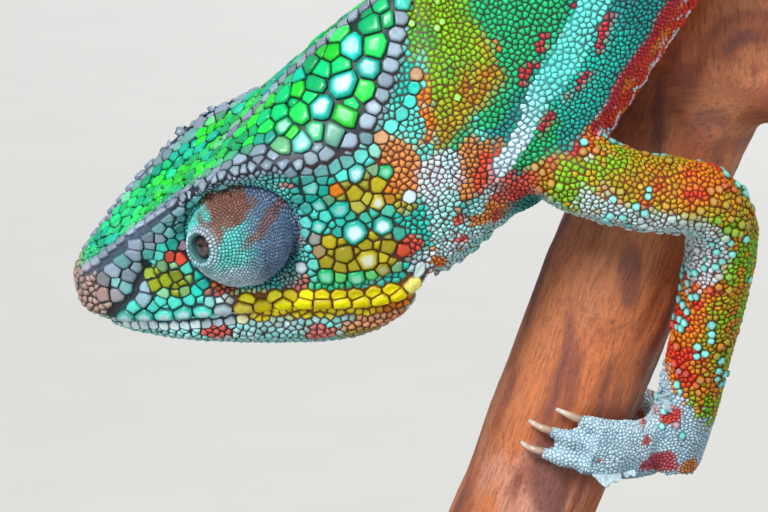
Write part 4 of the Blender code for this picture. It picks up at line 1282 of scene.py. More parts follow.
def scatter(surface, width_at, generator):
    """Random places on the surface, several for each scale that fits."""
    a, b, c = (surface.points[surface.faces[:, k]] for k in range(3))
    area = 0.5 * np.linalg.norm(np.cross(b - a, c - a), axis=1)
    count = generator.poisson(CANDIDATES * area / (HEXAGON * width_at**2))
    face = np.repeat(np.arange(len(area)), count)
    r, s = generator.random((2, len(face)))
    flip = r + s > 1
    r, s = np.where(flip, 1 - r, r), np.where(flip, 1 - s, s)
    points = a[face] + r[:, None] * (b - a)[face] + s[:, None] * (c - a)[face]
    return points, face


def tree_of(points):
    tree = KDTree(len(points))
    for index, point in enumerate(points.tolist()):
        tree.insert(point, index)
    tree.balance()
    return tree


def settle(surface, fixed, points, face, width, rounds=2):
    """Keeps the random places that leave each other room, largest first, then evens them out."""
    all_points = np.vstack([fixed["point"], points])
    all_faces = np.concatenate([fixed["face"].astype(int), face])
    clear = np.concatenate([fixed["clear"], width])
    first = len(fixed["point"])
    order = list(range(first)) + (first + np.argsort(-width, kind="stable")).tolist()
    normals = surface.normal_at(all_points, all_faces)
    tree = tree_of(all_points)
    dead = np.zeros(len(all_points), bool).tolist()
    reach = clear.tolist()
    rows = all_points.tolist()
    facing = normals.tolist()
    kept = []
    for index in order:
        if dead[index]:
            continue
        kept.append(index)
        own = reach[index]
        nx, ny, nz = facing[index]
        for _, other, gap in tree.find_range(rows[index], own * 1.05):
            if gap < PACKING * (own + reach[other]) and other != index:
                ox, oy, oz = facing[other]
                if nx * ox + ny * oy + nz * oz > 0.0:
                    dead[other] = True
    kept = np.array(kept)
    places, faces, widths = all_points[kept], all_faces[kept], clear[kept]
    free = kept >= first
    for _ in range(rounds):
        tree = tree_of(places)
        half = (0.5 * widths).tolist()
        home = []
        for point in points.tolist():
            home.append(min(tree.find_n(point, 3), key=lambda hit: hit[2] ** 2 - half[hit[1]] ** 2)[1])
        home = np.array(home)
        count = np.bincount(home, minlength=len(places))
        middle = np.stack([np.bincount(home, points[:, k], len(places)) for k in range(3)], 1)
        moving = free & (count > 2)
        places = places.copy()
        places[moving] = middle[moving] / count[moving, None]
        near, _, near_face = surface.nearest(places)
        places, faces = near, near_face
    return kept, places, faces


def cell_reach(points, normals, widths, near, steps):
    """How far each scale may spread in directions round it before it meets its neighbours."""
    helper = np.where(np.abs(normals[:, 2:3]) < 0.9, np.array((0.0, 0.0, 1.0)), np.array((1.0, 0.0, 0.0)))
    across = unit(np.cross(helper, normals))
    over = np.cross(normals, across)
    offset = points[near["index"]] - points[near["own"]][:, None]
    own_across, own_over = across[near["own"]], over[near["own"]]
    u = (offset * own_across[:, None]).sum(-1)
    v = (offset * own_over[:, None]).sum(-1)
    unrolled = np.linalg.norm(offset, axis=-1) / np.maximum(np.hypot(u, v), 1e-6)
    u, v = u * np.minimum(unrolled, 2.0), v * np.minimum(unrolled, 2.0)
    half = 0.5 * widths
    power = 0.5 * (u**2 + v**2 + (half[near["own"]] ** 2)[:, None] - half[near["index"]] ** 2)
    facing = (normals[near["index"]] * normals[near["own"]][:, None]).sum(-1) > -0.3
    power = np.where(facing & (u**2 + v**2 > 1e-6), power, np.inf)
    angles = 2 * math.pi * np.arange(steps) / steps
    toward = u[..., None] * np.cos(angles) + v[..., None] * np.sin(angles)
    limits = np.where(toward > 1e-6, power[..., None] / np.maximum(toward, 1e-6), np.inf)
    return limits.min(axis=1), own_across, own_over, angles


# Rings of a scale from its foot up: share of the width, lift as a share of the height (None: sunk under the
# skin), and painted light. The scale is painted darker towards its foot and lighter at its top, as painted
# shading of its dome.
PROFILES = {
    "granule": [(1.0, None, 0.0), (0.84, 0.52, 0.58)],
    "plate": [(1.0, None, 0.0), (0.94, 0.34, 0.30), (0.74, 0.74, 0.80), (0.40, 0.94, 0.96)],
}


def scale_rings(surface, data, near, kind, sides):
    """Points, corners, corner counts, painted light from 0 at the foot to 1 at the top, and flat places of
    all scales of a kind.
    """
    chosen = near["own"]
    steps = 4 * sides
    reach, across, over, angles = cell_reach(data["point"], data["normal"], data["clear"], near, steps)
    own = data["width"][chosen]
    loose, raised = data["kind"][chosen] >= LOOSE, data["kind"][chosen] == RAISED
    limit = np.where(loose, 0.95, 0.70) * np.maximum(own, data["clear"][chosen])
    reach = np.clip(reach, 0.22 * own[:, None], limit[:, None])
    widest = np.where(raised, 1.06, np.where(loose, 1.25, 99.0)) * reach.mean(1)
    reach = np.minimum(reach, widest[:, None]) - np.clip(0.04 * own, 0.02, 0.06)[:, None]
    sectors = reach.reshape(len(chosen), sides, 4)
    best = sectors.argmax(2)
    rows = np.arange(len(chosen))
    spread = np.take_along_axis(sectors, best[..., None], 2)[..., 0]
    turn = angles.reshape(sides, 4)[np.arange(sides)[None], best]
    away = across[:, None] * np.cos(turn)[..., None] + over[:, None] * np.sin(turn)[..., None]
    centre, normal = data["point"][chosen], data["normal"][chosen]
    mean = spread.mean(1)
    height = data["dome"][chosen] * 2 * np.minimum(mean, own)
    rings, shades = [], []
    sink = 0.10 + 0.05 * own
    for share, lift, light in PROFILES[kind]:
        level = -sink if lift is None else lift * height
        ring = centre[:, None] + away * (spread * share)[..., None] + normal[:, None] * level[:, None, None]
        rings.append(ring)
        shades.append(np.full((len(chosen), sides), light))
    if kind == "plate":
        flat = rings[0].reshape(-1, 3)
        near_points, near_normals, _ = surface.nearest(flat)
        drop = (near_points - near_normals * 0.1).reshape(rings[0].shape) - rings[0]
        for index, weight in enumerate((1.0, 0.85, 0.5, 0.2)):
            shift = drop * weight if index == 0 else (drop + normal[:, None] * sink[:, None, None]) * weight
            rings[index] = rings[index] + shift
    points = np.concatenate(rings + [(centre + normal * height[:, None])[:, None]], axis=1)
    shade = np.concatenate(shades + [np.ones((len(chosen), 1))], axis=1)
    turn_of = np.tile(turn, (1, len(rings)))
    share_of = np.concatenate([np.full((len(chosen), sides), ring[0]) for ring in PROFILES[kind]], axis=1)
    spot = np.stack([np.cos(turn_of) * share_of, np.sin(turn_of) * share_of], -1)
    spot = np.concatenate([spot, np.zeros((len(chosen), 1, 2))], axis=1)
    faces, counts = ring_faces(len(PROFILES[kind]), sides)
    all_faces = (faces[None] + points.shape[1] * rows[:, None]).ravel()
    return points.reshape(-1, 3), all_faces, np.tile(counts, len(chosen)), shade, spot


def ring_faces(rings, sides):
    """Corners of the faces of one scale: its underside, its bands and its top."""
    corners = [list(range(sides))[::-1]]
    for ring in range(rings - 1):
        low, high = ring * sides, (ring + 1) * sides
        corners += [[low + k, low + (k + 1) % sides, high + (k + 1) % sides, high + k] for k in range(sides)]
    last, top = (rings - 1) * sides, rings * sides
    corners += [[last + k, last + (k + 1) % sides, top] for k in range(sides)]
    return np.array([c for face in corners for c in face]), np.array([len(face) for face in corners])


def unwrap(surface, faces):
    """A smart unwrap of part of the skin: for each of its triangles the UV of its corners."""
    used, local = np.unique(surface.faces[faces], return_inverse=True)
    local = local.reshape(-1, 3)
    piece = mesh_piece("unwrap", surface.points[used], local.ravel(), np.full(len(faces), 3))
    piece.data.uv_layers.new(name=COAT_UV)
    edit_whole(piece, bpy.ops.uv.smart_project, angle_limit=math.radians(66), island_margin=0.004)
    uv = np.empty(len(faces) * 6, np.float32)
    piece.data.uv_layers[COAT_UV].uv.foreach_get("vector", uv)
    mesh = piece.data
    bpy.data.objects.remove(piece)
    bpy.data.meshes.remove(mesh)
    return uv.reshape(-1, 3, 2).astype(float)


def coat_piece(name, surface, data, chosen, faces, material, slot):
    """Builds the chosen scales as one piece, with its markings and its unwrap."""
    local_face = np.full(len(surface.faces), -1)
    local_face[faces] = np.arange(len(faces))
    uv_corners = unwrap(surface, faces)
    tree = data["tree"]
    points, corners, counts, colours, spots = [], [], [], [], []
    start = 0
    plates = (data["width"][chosen] > FINE_WIDTH) | (data["kind"][chosen] == RAISED)
    for kind, sides, group in (("granule", 6, chosen[~plates]), ("plate", 12, chosen[plates])):
        if not len(group):
            continue
        centres = data["point"][group]
        near = np.array([[hit[1] for hit in tree.find_n(p, NEIGHBOURS)] for p in centres.tolist()])
        shape = scale_rings(surface, data, {"own": group, "index": near}, kind, sides)
        ring_points, ring_corners, ring_counts, shade, spot = shape
        base, rim = data["colour"][group][:, None], data["rim"][group][:, None]
        # The pale centre, partly the plate's own colour and partly a painted highlight, whitens only the top
        # of the scale
        glow = data["glow"][group][:, None, None] * ease(0.82, 0.99, shade)[..., None]
        # Painted shade and highlight: each scale is darker towards its foot, where it fades into the
        # groove's colour, and lighter at its top.
        body = base * (0.64 + 0.48 * shade)[..., None]
        body = mix(rim, body, ease(0.0, 0.4, shade))
        colours.append((body * (1 - glow) + palette("white") * 1.2 * glow).reshape(-1, 3))
        share = surface.shares(centres, data["face"][group])
        root = (uv_corners[local_face[data["face"][group]]] * share[..., None]).sum(1)
        spots.append((root[:, None] + PATCH * spot).reshape(-1, 2))
        points.append(ring_points)
        corners.append(ring_corners + start)
        counts.append(ring_counts)
        start += len(ring_points)
    piece = mesh_piece(name, np.vstack(points), np.concatenate(corners), np.concatenate(counts))
    paint(piece, np.vstack(colours))
    lay_uv(piece, np.vstack(spots), np.concatenate(corners))
    return place_piece(piece, slot, material)


COATS = {
    "head_scales": ("head_skin", ("head",), None),
    "jaw_scales": ("head_skin", ("lower_jaw",), None),
    "neck_scales": ("body_skin", ("neck",), None),
    "shoulder_scales_left": ("body_skin", ("trunk_front",), "left"),
    "shoulder_scales_right": ("body_skin", ("trunk_front",), "right"),
    "flank_scales_left": ("body_skin", ("trunk_middle",), "left"),
    "flank_scales_right": ("body_skin", ("trunk_middle",), "right"),
    "hip_scales": ("body_skin", ("trunk_rear",), None),
    "foreleg_scales_left": ("body_skin", ("foreleg_upper_left", "foreleg_lower_left"), None),
    "foreleg_scales_right": ("body_skin", ("foreleg_upper_right", "foreleg_lower_right"), None),
    "hindleg_scales_left": ("body_skin", ("hindleg_thigh_left", "hindleg_shank_left"), None),
    "hindleg_scales_right": ("body_skin", ("hindleg_thigh_right", "hindleg_shank_right"), None),
    "forefoot_scales": ("foot_skin", ("forefoot_left", "forefoot_right"), None),
    "hindfoot_scales": ("foot_skin", ("hindfoot_left", "hindfoot_right"), None),
    "tail_scales_upper": ("body_skin", ("tail_1", "tail_2"), None),
    "tail_scales_lower": ("body_skin", ("tail_3", "tail_4", "tail_5", "tail_6"), None),
}


def make_coat():
    """All scales but those of the lids, found together so that no seam shows between the pieces."""
    body = STATE["body"]
    surface = body.surface
    generator = np.random.default_rng(RANDOM_SEED)
    face_node = body.node[surface.faces[:, 0]]
    middles = surface.points[surface.faces].mean(1)
    face_normals = surface.normal_at(middles, np.arange(len(middles)))
    reach = body.reach[surface.faces[:, 0]]
    face_width = scale_width(places_of(middles, face_normals, face_node, reach))
    points, face = scatter(surface, face_width, generator)
    normals = surface.normal_at(points, face)
    width = scale_width(places_of(points, normals, face_node[face], reach[face]))
    chosen = clear_of_rows(points, width)
    points, face, width, normals = points[chosen], face[chosen], width[chosen], normals[chosen]
    plates = width > PLATE_WIDTH
    width[plates] *= generator.uniform(0.55, 1.2, plates.sum())
    where = places_of(points, normals, face_node[face], reach[face])
    raised = grow_tubercles(where, width, generator)
    fixed = fixed_seeds(surface)
    kept, places, faces = settle(surface, fixed, points, face, width)
    dome = np.where(raised, 0.40, np.where(width > PLATE_WIDTH, 0.21, 0.26))
    # Painted highlight: raised tubercles are whitened at their tops; those on the warm side of the legs are
    # whitened less
    plain = seed_rows(points, face, width, width, dome, glow=0.35 * raised, kind=LOOSE + raised)
    legs = where_named(where["names"], "leg") & raised
    lower = where_named(where["names"], "lower", "shank")
    cold = noise(points, 3.4, 48) + 0.22 * lower > 0.1
    plain["tint"][legs & cold] = mix(palette("cyan"), palette("white"), 0.15)
    plain["glow"][legs & ~cold] = 0.12
    plain["tint"][raised & ~legs] = 1.2 * palette("lime")
    data = only(joined([fixed, plain]), kept)
    data["point"], data["face"] = places, faces
    across_ridges = surface.normal_at(places, faces, surface.softened(8))
    across_ridges = unit(across_ridges + data["lift"][:, None] * AXES[2])
    plain_normals = surface.normal_at(places, faces, surface.softened(1))
    data["normal"] = np.where((data["kind"] == IN_ROW)[:, None], across_ridges, plain_normals)
    where = places_of(places, data["normal"], face_node[faces], reach[faces])
    colours, dark = markings(where)
    tinted = data["tint"][:, 0] >= 0
    colours[tinted] = data["tint"][tinted]
    spread = np.where(data["width"] > PLATE_WIDTH, 0.32, 0.2)[:, None]
    colours *= 1 + spread * generator.uniform(-1, 1, (len(colours), 1))
    feet = where_named(where["names"], "foot")
    data["dome"][feet] *= 0.7
    data["colour"] = colours
    data["rim"] = groove_colours(colours, dark)
    data["tree"] = tree_of(places)
    materials = {
        "head_skin": skin_material("head_scales", 0.30, 0.12),
        "body_skin": skin_material("body_scales", 0.40, 0.12),
        "foot_skin": skin_material("foot_scales", 0.5, 0.18),
    }
    seed_node = face_node[faces]
    for name, (slot, nodes, half) in COATS.items():
        wanted = [FLESH.index(node) for node in nodes]
        seeds = np.isin(seed_node, wanted) & (data["width"] > 0)
        region = np.isin(face_node, wanted)
        if half:
            sign = -1 if half == "left" else 1
            seeds &= sign * (middles[faces][:, 1] - MIDPLANE) > 0
            region &= sign * (middles[:, 1] - MIDPLANE) > 0
        coat_piece(name, surface, data, np.flatnonzero(seeds), np.flatnonzero(region), materials[slot], slot)


def make_lid_scales():
    """Granules in rings round the opening of each lid, finer and flatter on its rear half."""
    generator = np.random.default_rng(RANDOM_SEED + 1)
    head = STATE["body"].surface
    material = skin_material("lid_scales", 0.42, 0.15)
    for side in SIDES:
        surface = STATE[lid_name(side)]
        centre, gaze, back, over = gaze_frame(side)
        width = sizes().lid_scale / MM
        rings, widths = [], []
        angle = math.radians(16.5)
        while angle < math.radians(150):
            radius = 7.3 - 0.7 * ease(0.3, 0.8, angle)
            rear = float(ease(0.75, 1.3, angle))
            own = width * (1 - 0.12 * rear)
            count = int(2 * math.pi * radius * math.sin(angle) / (own * (1 + 0.25 * rear)))
            turn = 2 * math.pi * (np.arange(count) + generator.uniform(0, 1)) / count
            turn += generator.normal(0, 0.12 * own / radius, count)
            tilt = angle + generator.normal(0, 0.10 * own / radius, count)
            across = back * np.cos(turn)[:, None] + over * np.sin(turn)[:, None]
            away = gaze * np.cos(tilt)[:, None] + across * np.sin(tilt)[:, None]
            rings.append(away)
            widths.append(np.full(count, own * (1 - 0.1 * rear)))
            angle += own * (0.92 - 0.08 * rear) / radius
        away, widths = np.vstack(rings), np.concatenate(widths)
        points, normals, faces = surface.struck(centre + 12.0 * away, -away)
        near, near_normals, _ = head.nearest(points)
        tilt = np.arccos(np.clip(unit(points - centre) @ gaze, -1, 1))
        above = ((points - near) * near_normals).sum(1) > -0.3
        chosen = above | (tilt < math.radians(62)) | ~head.hides(points + 0.1 * normals, normals, 6.0)
        points, normals, faces, widths = points[chosen], normals[chosen], faces[chosen], widths[chosen]
        angle, _ = lid_places(points, side)
        rear = ease(0.7, 1.3, angle)
        colours = lid_colours(points, side) * generator.uniform(0.75, 1.3, (len(points), 1))
        rim = 0.22 * colours + 0.02 * palette("lid")
        data = seed_rows(points, faces, widths, widths, 0.30 - 0.14 * rear)
        data.update(face=faces, normal=normals, colour=colours, rim=rim, tree=tree_of(points))
        used = np.arange(len(surface.faces))
        every = np.arange(len(points))
        coat_piece(f"lid_scales_{side}", surface, data, every, used, material, "eyelid_skin")


def cone_piece(name, points, normals, leans, widths, heights, colours, material):
    """Small pointed scales, each a closed cone leaning along its crest."""
    sides = 8
    helper = unit(np.cross(normals, leans))
    along = np.cross(helper, normals)
    turn = 2 * math.pi * np.arange(sides) / sides
    away = along[:, None] * np.cos(turn)[:, None] + helper[:, None] * np.sin(turn)[:, None]
    rings = []
    shades = []
    # Painted shade: each ring of a cone is painted darker towards its base, and the tip is painted lightest
    for share, lift, lean in ((1.0, -0.3, 0.0), (0.86, 0.25, 0.05), (0.45, 0.72, 0.2)):
        centre = points + normals * (lift * heights)[:, None] + leans * (lean * heights)[:, None]
        rings.append(centre[:, None] + away * (0.5 * widths * share)[:, None, None])
        shades.append(np.full((len(points), sides), 0.35 + 0.8 * max(lift, 0)))
    tip = points + normals * heights[:, None] + leans * (0.38 * heights)[:, None]
    all_points = np.concatenate(rings + [tip[:, None]], axis=1)
    shade = np.concatenate(shades + [np.full((len(points), 1), 1.1)], axis=1)
    faces, counts = ring_faces(3, sides)
    rows = np.arange(len(points))
    corners = (faces[None] + all_points.shape[1] * rows[:, None]).ravel()
    piece = mesh_piece(name, all_points.reshape(-1, 3), corners, np.tile(counts, len(points)))
    paint(piece, (colours[:, None] * shade[..., None]).reshape(-1, 3))
    places = (rows + 0.5) / len(points)
    spot = np.stack([np.cos(turn), np.sin(turn)], 1) * PATCH
    spots = np.tile(spot, (3, 1)) * np.repeat((1, 0.86, 0.45), sides)[:, None]
    spots = np.concatenate([spots, np.zeros((1, 2))])
    uv = np.stack([places, np.full(len(places), 0.5)], 1)[:, None] + spots[None]
    lay_uv(piece, uv.reshape(-1, 2), corners)
    return place_piece(piece, "body_skin", material)


# The middle of chin and throat: x back from the snout, z
CHIN_LINE = [(4, -2.5), (12, -5.4), (20, -7.2), (28, -8.8), (34, -9.2), (40, -7.0)]


def make_crests():
    """The row of small cones down the back, and the lower one under chin and throat."""
    surface = STATE["body"].surface
    generator = np.random.default_rng(RANDOM_SEED + 2)
    material = skin_material("crest_scales", 0.45, 0.15)
    back = [(x, -3.0 if x > -29 else -5.0, z) for x, z in STATIONS[1:, 2:]]
    chin = [tuple(from_head([(x, 0.0, z)])[0]) for x, z in CHIN_LINE]
    rows = [
        ("back_crest", back, 1.25, 1.15, 1.25, "leaf", "lime"),
        ("chin_crest", chin, 1.05, 0.85, 0.75, "white", "cyan"),
    ]
    for name, line, step, width, height, first, second in rows:
        places = spaced(line, step, step)
        leans = unit(np.gradient(places, axis=0))
        outward = np.array((-0.7, 0.0, 0.7)) if name == "back_crest" else -AXES[2]
        start = places + 14.0 * outward
        points, normals, _ = surface.struck(start, np.tile(-unit(outward), (len(start), 1)))
        vary = generator.uniform(0.8, 1.2, len(points))
        colours = blended(first, second, generator.uniform(0, 1, len(points)))
        cone_piece(name, points, normals, leans, width * vary, height * vary, colours, material)


# Loose flakes of old skin on the left foreleg: both ends of the held edge, way of the loose edge, and
# length
FLAKES = [
    ((-8.6, -1.5, 58.4), (-3.9, -1.5, 57.9), (0.15, -0.45, -1.0), 1.7),
    ((-3.4, -1.5, 57.6), (-1.4, -1.5, 57.4), (0.3, -0.4, -1.0), 1.0),
    ((-0.9, 0.0, 68.2), (0.2, 0.0, 65.6), (-1.0, -0.5, 0.35), 1.9),
]


def make_flakes():
    """The flakes as thin ragged sheets with some thickness."""
    surface = STATE["body"].surface
    columns, rows = 25, 6
    points, corners = [], []
    for number, (start, end, way, reach) in enumerate(FLAKES):
        share = np.linspace(0, 1, columns)
        held = np.array(start) + share[:, None] * (np.array(end) - np.array(start))
        held, normals, _ = surface.nearest(held)
        ragged = 0.7 + 0.5 * noise(held + 11.0 * number, 0.7, 57)
        ragged = reach * ragged * np.sqrt(np.maximum(np.sin(math.pi * share), 0.02))
        out = np.linspace(-0.15, 1, rows)[:, None, None]
        sheet = held + out * ragged[:, None] * unit(np.array(way))
        sheet = sheet + normals * (0.25 * out + 0.12 * np.sin(9 * share)[:, None] * out)
        cell = np.arange(columns - 1) + columns * np.arange(rows - 1)[:, None] + columns * rows * number
        corners.append(np.stack([cell, cell + 1, cell + columns + 1, cell + columns], -1).reshape(-1))
        points.append(sheet.reshape(-1, 3))
    corners = np.concatenate(corners)
    piece = mesh_piece("shed_skin", np.vstack(points), corners, np.full(len(corners) // 4, 4))
    finish_with(piece, "SOLIDIFY", thickness=0.14 * MM, offset=0.0)
    shade = 0.8 + 0.25 * noise(points_of(piece), 0.6, 58)
    paint(piece, palette("white") * shade[:, None])
    place_piece(piece, "foot_skin", skin_material("shed_skin", 0.6, 0.2))


# Eyes, claws --------------------
def make_eyes():
    """The eyeballs behind the openings of the lids: dark pupil, thin brown iris, wet surface."""
    m = Nodes("eyeball")
    m.link(m.attribute(MARKINGS), "Base Color")
    m.set(Roughness=0.15, Coat_Weight=1.0, Coat_Roughness=0.08)
    radius = 2.3
    for side in SIDES:
        _, gaze, _, _ = gaze_frame(side)
        place = middle_of(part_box(f"eyeball_{side}")) + gaze * (1.3 - 0.75 - radius)
        bpy.ops.object.select_all(action="DESELECT")
        bpy.ops.mesh.primitive_uv_sphere_add(segments=64, ring_count=40, radius=radius * MM)
        piece = bpy.context.view_layer.objects.active
        piece.name = f"eye_{side}"
        turn = Vector(gaze).to_track_quat("Z", "Y").to_matrix().to_4x4()
        piece.data.transform(Matrix.Translation(Vector(place * MM)) @ turn)
        points = points_of(piece)
        angle = np.arccos(np.clip(unit(points - place) @ gaze, -1, 1))
        across = radius * np.sin(angle)
        bulge = 0.22 * hill(across, 0.9)
        move_points(piece, points + gaze * bulge[:, None])
        colours = np.tile(np.array((0.016, 0.008, 0.012)), (len(points), 1))
        colours = mix(colours, np.array((0.09, 0.035, 0.016)), hill(across - 0.80, 0.12))
        colours = mix(colours, np.array((0.002, 0.002, 0.003)), 1 - ease(0.55, 0.68, across))
        paint(piece, colours)
        select_only(piece)
        bpy.ops.object.shade_smooth()
        place_piece(piece, "eyeball", m.material, f"eyeball_{side}")


def horn_material():
    m = Nodes("claw_horn")
    m.link(m.attribute(MARKINGS), "Base Color")
    m.link(m.mapped(m.noise(m.place(), 900.0), 0.3, 0.7, 0.28, 0.45), "Roughness")
    m.set(Coat_Weight=0.2)
    return m.material


def make_claws():
    """The claws of each foot: smooth horn, darker at the root, pale at the point."""
    material = horn_material()
    for foot in FEET:
        names = [name for name in CLAWS if name.startswith(foot)]
        piece = copy_nodes(names, f"{foot}_claws")
        remesh(piece, 0.16 * MM)
        smooth(piece, 4)
        points = points_of(piece)
        tips = np.zeros(len(points))
        palm = middle_of(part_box(foot))
        for name in names:
            claw = points_of(NODES[name])
            gap = np.linalg.norm(claw - palm, axis=1)
            root, tip = claw[gap.argmin()], claw[gap.argmax()]
            axis, size = unit(tip - root), np.linalg.norm(tip - root)
            own = np.linalg.norm(points - (root + tip) / 2, axis=1) < 0.75 * size
            tips[own] = ((points[own] - root) @ axis) / size
            points[own] -= axis * (1.5 * (1 - ease(0.0, 0.4, tips[own])))[:, None]
        colours = mix(0.45 * palette("horn"), palette("horn"), ease(0.0, 0.5, tips))
        colours = mix(colours, np.array((0.72, 0.64, 0.58)), ease(0.6, 1.0, tips))
        move_points(piece, points)
        paint(piece, colours * (1 + 0.25 * noise(points, 0.5, 81))[:, None])
        place_piece(piece, "claw", material, *names)


# Branch --------------------
KNOT = (11.0, 111.0)
# Stains of the branch's front: x, z, half sizes, colour, strength
WOOD_MARKS = [
    (-14.0, 57.0, 2.4, 5.0, "heartwood", 0.8), (-4.0, 84.0, 1.6, 4.5, "heartwood", 0.7),
    (-0.6, 104.6, 0.9, 4.6, "heartwood", 0.85), (6.0, 104.0, 2.2, 1.4, "heartwood", 0.6),
    (-11.5, 74.0, 0.8, 5.0, "heartwood", 0.5), (-21.0, 47.0, 1.2, 4.0, "heartwood", 0.6),
]


def make_branch():
    """A smooth weathered branch with long grain, streaks and the knot round its cut twig."""
    piece = copy_nodes(["branch"], "branch_wood")
    remesh(piece, 0.85 * MM)
    smooth(piece, 12)
    points, normals = points_of(piece), normals_of(piece)
    bands = np.linspace(points[:, 2].min() + 2, points[:, 2].max() - 2, 24)
    line = []
    for level in bands:
        ring = points[np.abs(points[:, 2] - level) < 3]
        line.append(np.median(ring, axis=0) * (1, 1, 0) + (0, 0, level))
    place, gap = line_place(points, line)
    along = place * np.linalg.norm(np.diff(line, axis=0), axis=1).sum()
    shares = np.linspace(0, 1, 24)
    centre = np.stack([np.interp(place, shares, np.array(line)[:, k]) for k in range(3)], 1)
    swirl = points - centre
    grain = np.stack([swirl[:, 0], swirl[:, 1], 0.13 * along], 1) + 0.5 * noise(points, 9.0, 90)[:, None]
    knot = hill(np.maximum(gap - 7.0, 0.0), 4.0) * ease(9.0, 11.0, gap)
    ripple = 0.28 * noise(grain, 3.0, 91) + 0.12 * noise(grain * (1, 1, 2.0), 1.2, 92)
    move_points(piece, points + normals * (ripple - 0.25)[:, None])
    layer = piece.data.attributes.new("Grain", "FLOAT_VECTOR", "POINT")
    layer.data.foreach_set("vector", grain.astype(np.float32).ravel())
    streak = noise(grain, 2.4, 93) + 0.6 * noise(grain, 1.0, 94)
    x, _, z = points.T
    twig = np.hypot(x - KNOT[0], z - KNOT[1])
    whorl = np.stack([twig, np.arctan2(z - KNOT[1], x - KNOT[0]) * 3.0, twig * 0], 1)
    round_knot = ease(15.0, 8.0, twig) * (normals[:, 1] < 0.4)
    streak = mix(streak[:, None], (noise(whorl * (1, 0.35, 1), 1.5, 98) + 0.3)[:, None], round_knot)[:, 0]
    wood, dark = palette("wood"), palette("heartwood")
    colours = mix(wood, wood * np.array((1.35, 1.05, 0.75)), ease(-0.5, 0.7, noise(grain, 6.0, 95)))
    pale = ease(0.2, 0.6, noise(points, 12.0, 96) + 0.3 * noise(grain, 2.0, 97))
    colours = mix(colours, np.array((0.70, 0.40, 0.34)), 0.6 * pale)
    colours = mix(colours, wood * np.array((0.62, 0.42, 0.45)), 0.8 * ease(0.0, 0.55, streak))
    colours = mix(colours, dark, 0.85 * ease(0.5, 0.95, streak))
    colours = mix(colours, dark * np.array((1.7, 1.2, 1.0)), 0.7 * knot)
    colours = lay_marks(colours, x, z, WOOD_MARKS, 0.35 * noise(grain, 2.0, 99))
    paint(piece, colours)
    place_piece(piece, "bark", wood_material(), "branch")


def wood_material():
    m = Nodes("branch_wood")
    grain = m.attribute("Grain", "Vector")
    marks = m.attribute(MARKINGS)
    fibres = m.noise(grain, 2.6, 6.0, 0.7)
    threads = m.noise(grain, 9.0, 4.0, 0.6)
    dark = m.blend(m.mapped(fibres, 0.47, 0.66, 0.0, 0.7), marks, tuple(0.30 * palette("wood")))
    dark = m.blend(m.mapped(threads, 0.55, 0.68, 0.0, 0.5), dark, tuple(0.25 * palette("wood")))
    dark = m.blend(m.mapped(threads, 0.44, 0.30, 0.0, 0.25), dark, (0.72, 0.38, 0.22))
    specks = m.mapped(m.noise(m.place(), 1500.0), 0.55, 0.75, 0.0, 0.3)
    m.link(m.blend(specks, dark, (0.10, 0.035, 0.03)), "Base Color")
    m.link(m.mapped(fibres, 0.3, 0.7, 0.5, 0.72), "Roughness")
    m.bump(fibres, 0.35, 0.4)
    return m.material


# Stand --------------------
def make_stand():
    """Finishes for the display stand: a dark lacquered base, and a brushed steel rod and collar."""
    base = Nodes("stand_lacquer")
    grain = base.add("Mapping", {"Vector": base.place(), "Scale": (8.0, 90.0, 90.0)}).outputs["Vector"]
    fibres = base.noise(grain, 6.0, 6.0, 0.65)
    streaks = base.mapped(fibres, 0.35, 0.7)
    base.link(base.blend(streaks, (0.035, 0.018, 0.011), (0.095, 0.048, 0.026)), "Base Color")
    base.link(base.mapped(fibres, 0.3, 0.7, 0.28, 0.42), "Roughness")
    base.bump(fibres, 0.12, 0.1)
    base.set(Coat_Weight=0.25, Coat_Roughness=0.2)
    steel = Nodes("stand_steel")
    brush = steel.add("Mapping", {"Vector": steel.place(), "Scale": (400.0, 400.0, 6000.0)})
    lines = steel.noise(brush.outputs["Vector"], 1.0, 2.0)
    bright = steel.mapped(lines, 0.3, 0.7)
    steel.link(steel.blend(bright, (0.50, 0.49, 0.47), (0.66, 0.65, 0.63)), "Base Color")
    steel.link(steel.mapped(lines, 0.3, 0.7, 0.24, 0.38), "Roughness")
    steel.bump(lines, 0.08, 0.02)
    steel.set(Metallic=1.0)
    for name, finish in (("stand_base", base), ("stand_collar", steel), ("stand_rod", steel)):
        NODES[name].data.materials.clear()
        NODES[name].data.materials.append(finish.material)


# Stage --------------------
TARGET = (-35.0, -4.0, 88.0)
VIEW_RISE = math.radians(14)


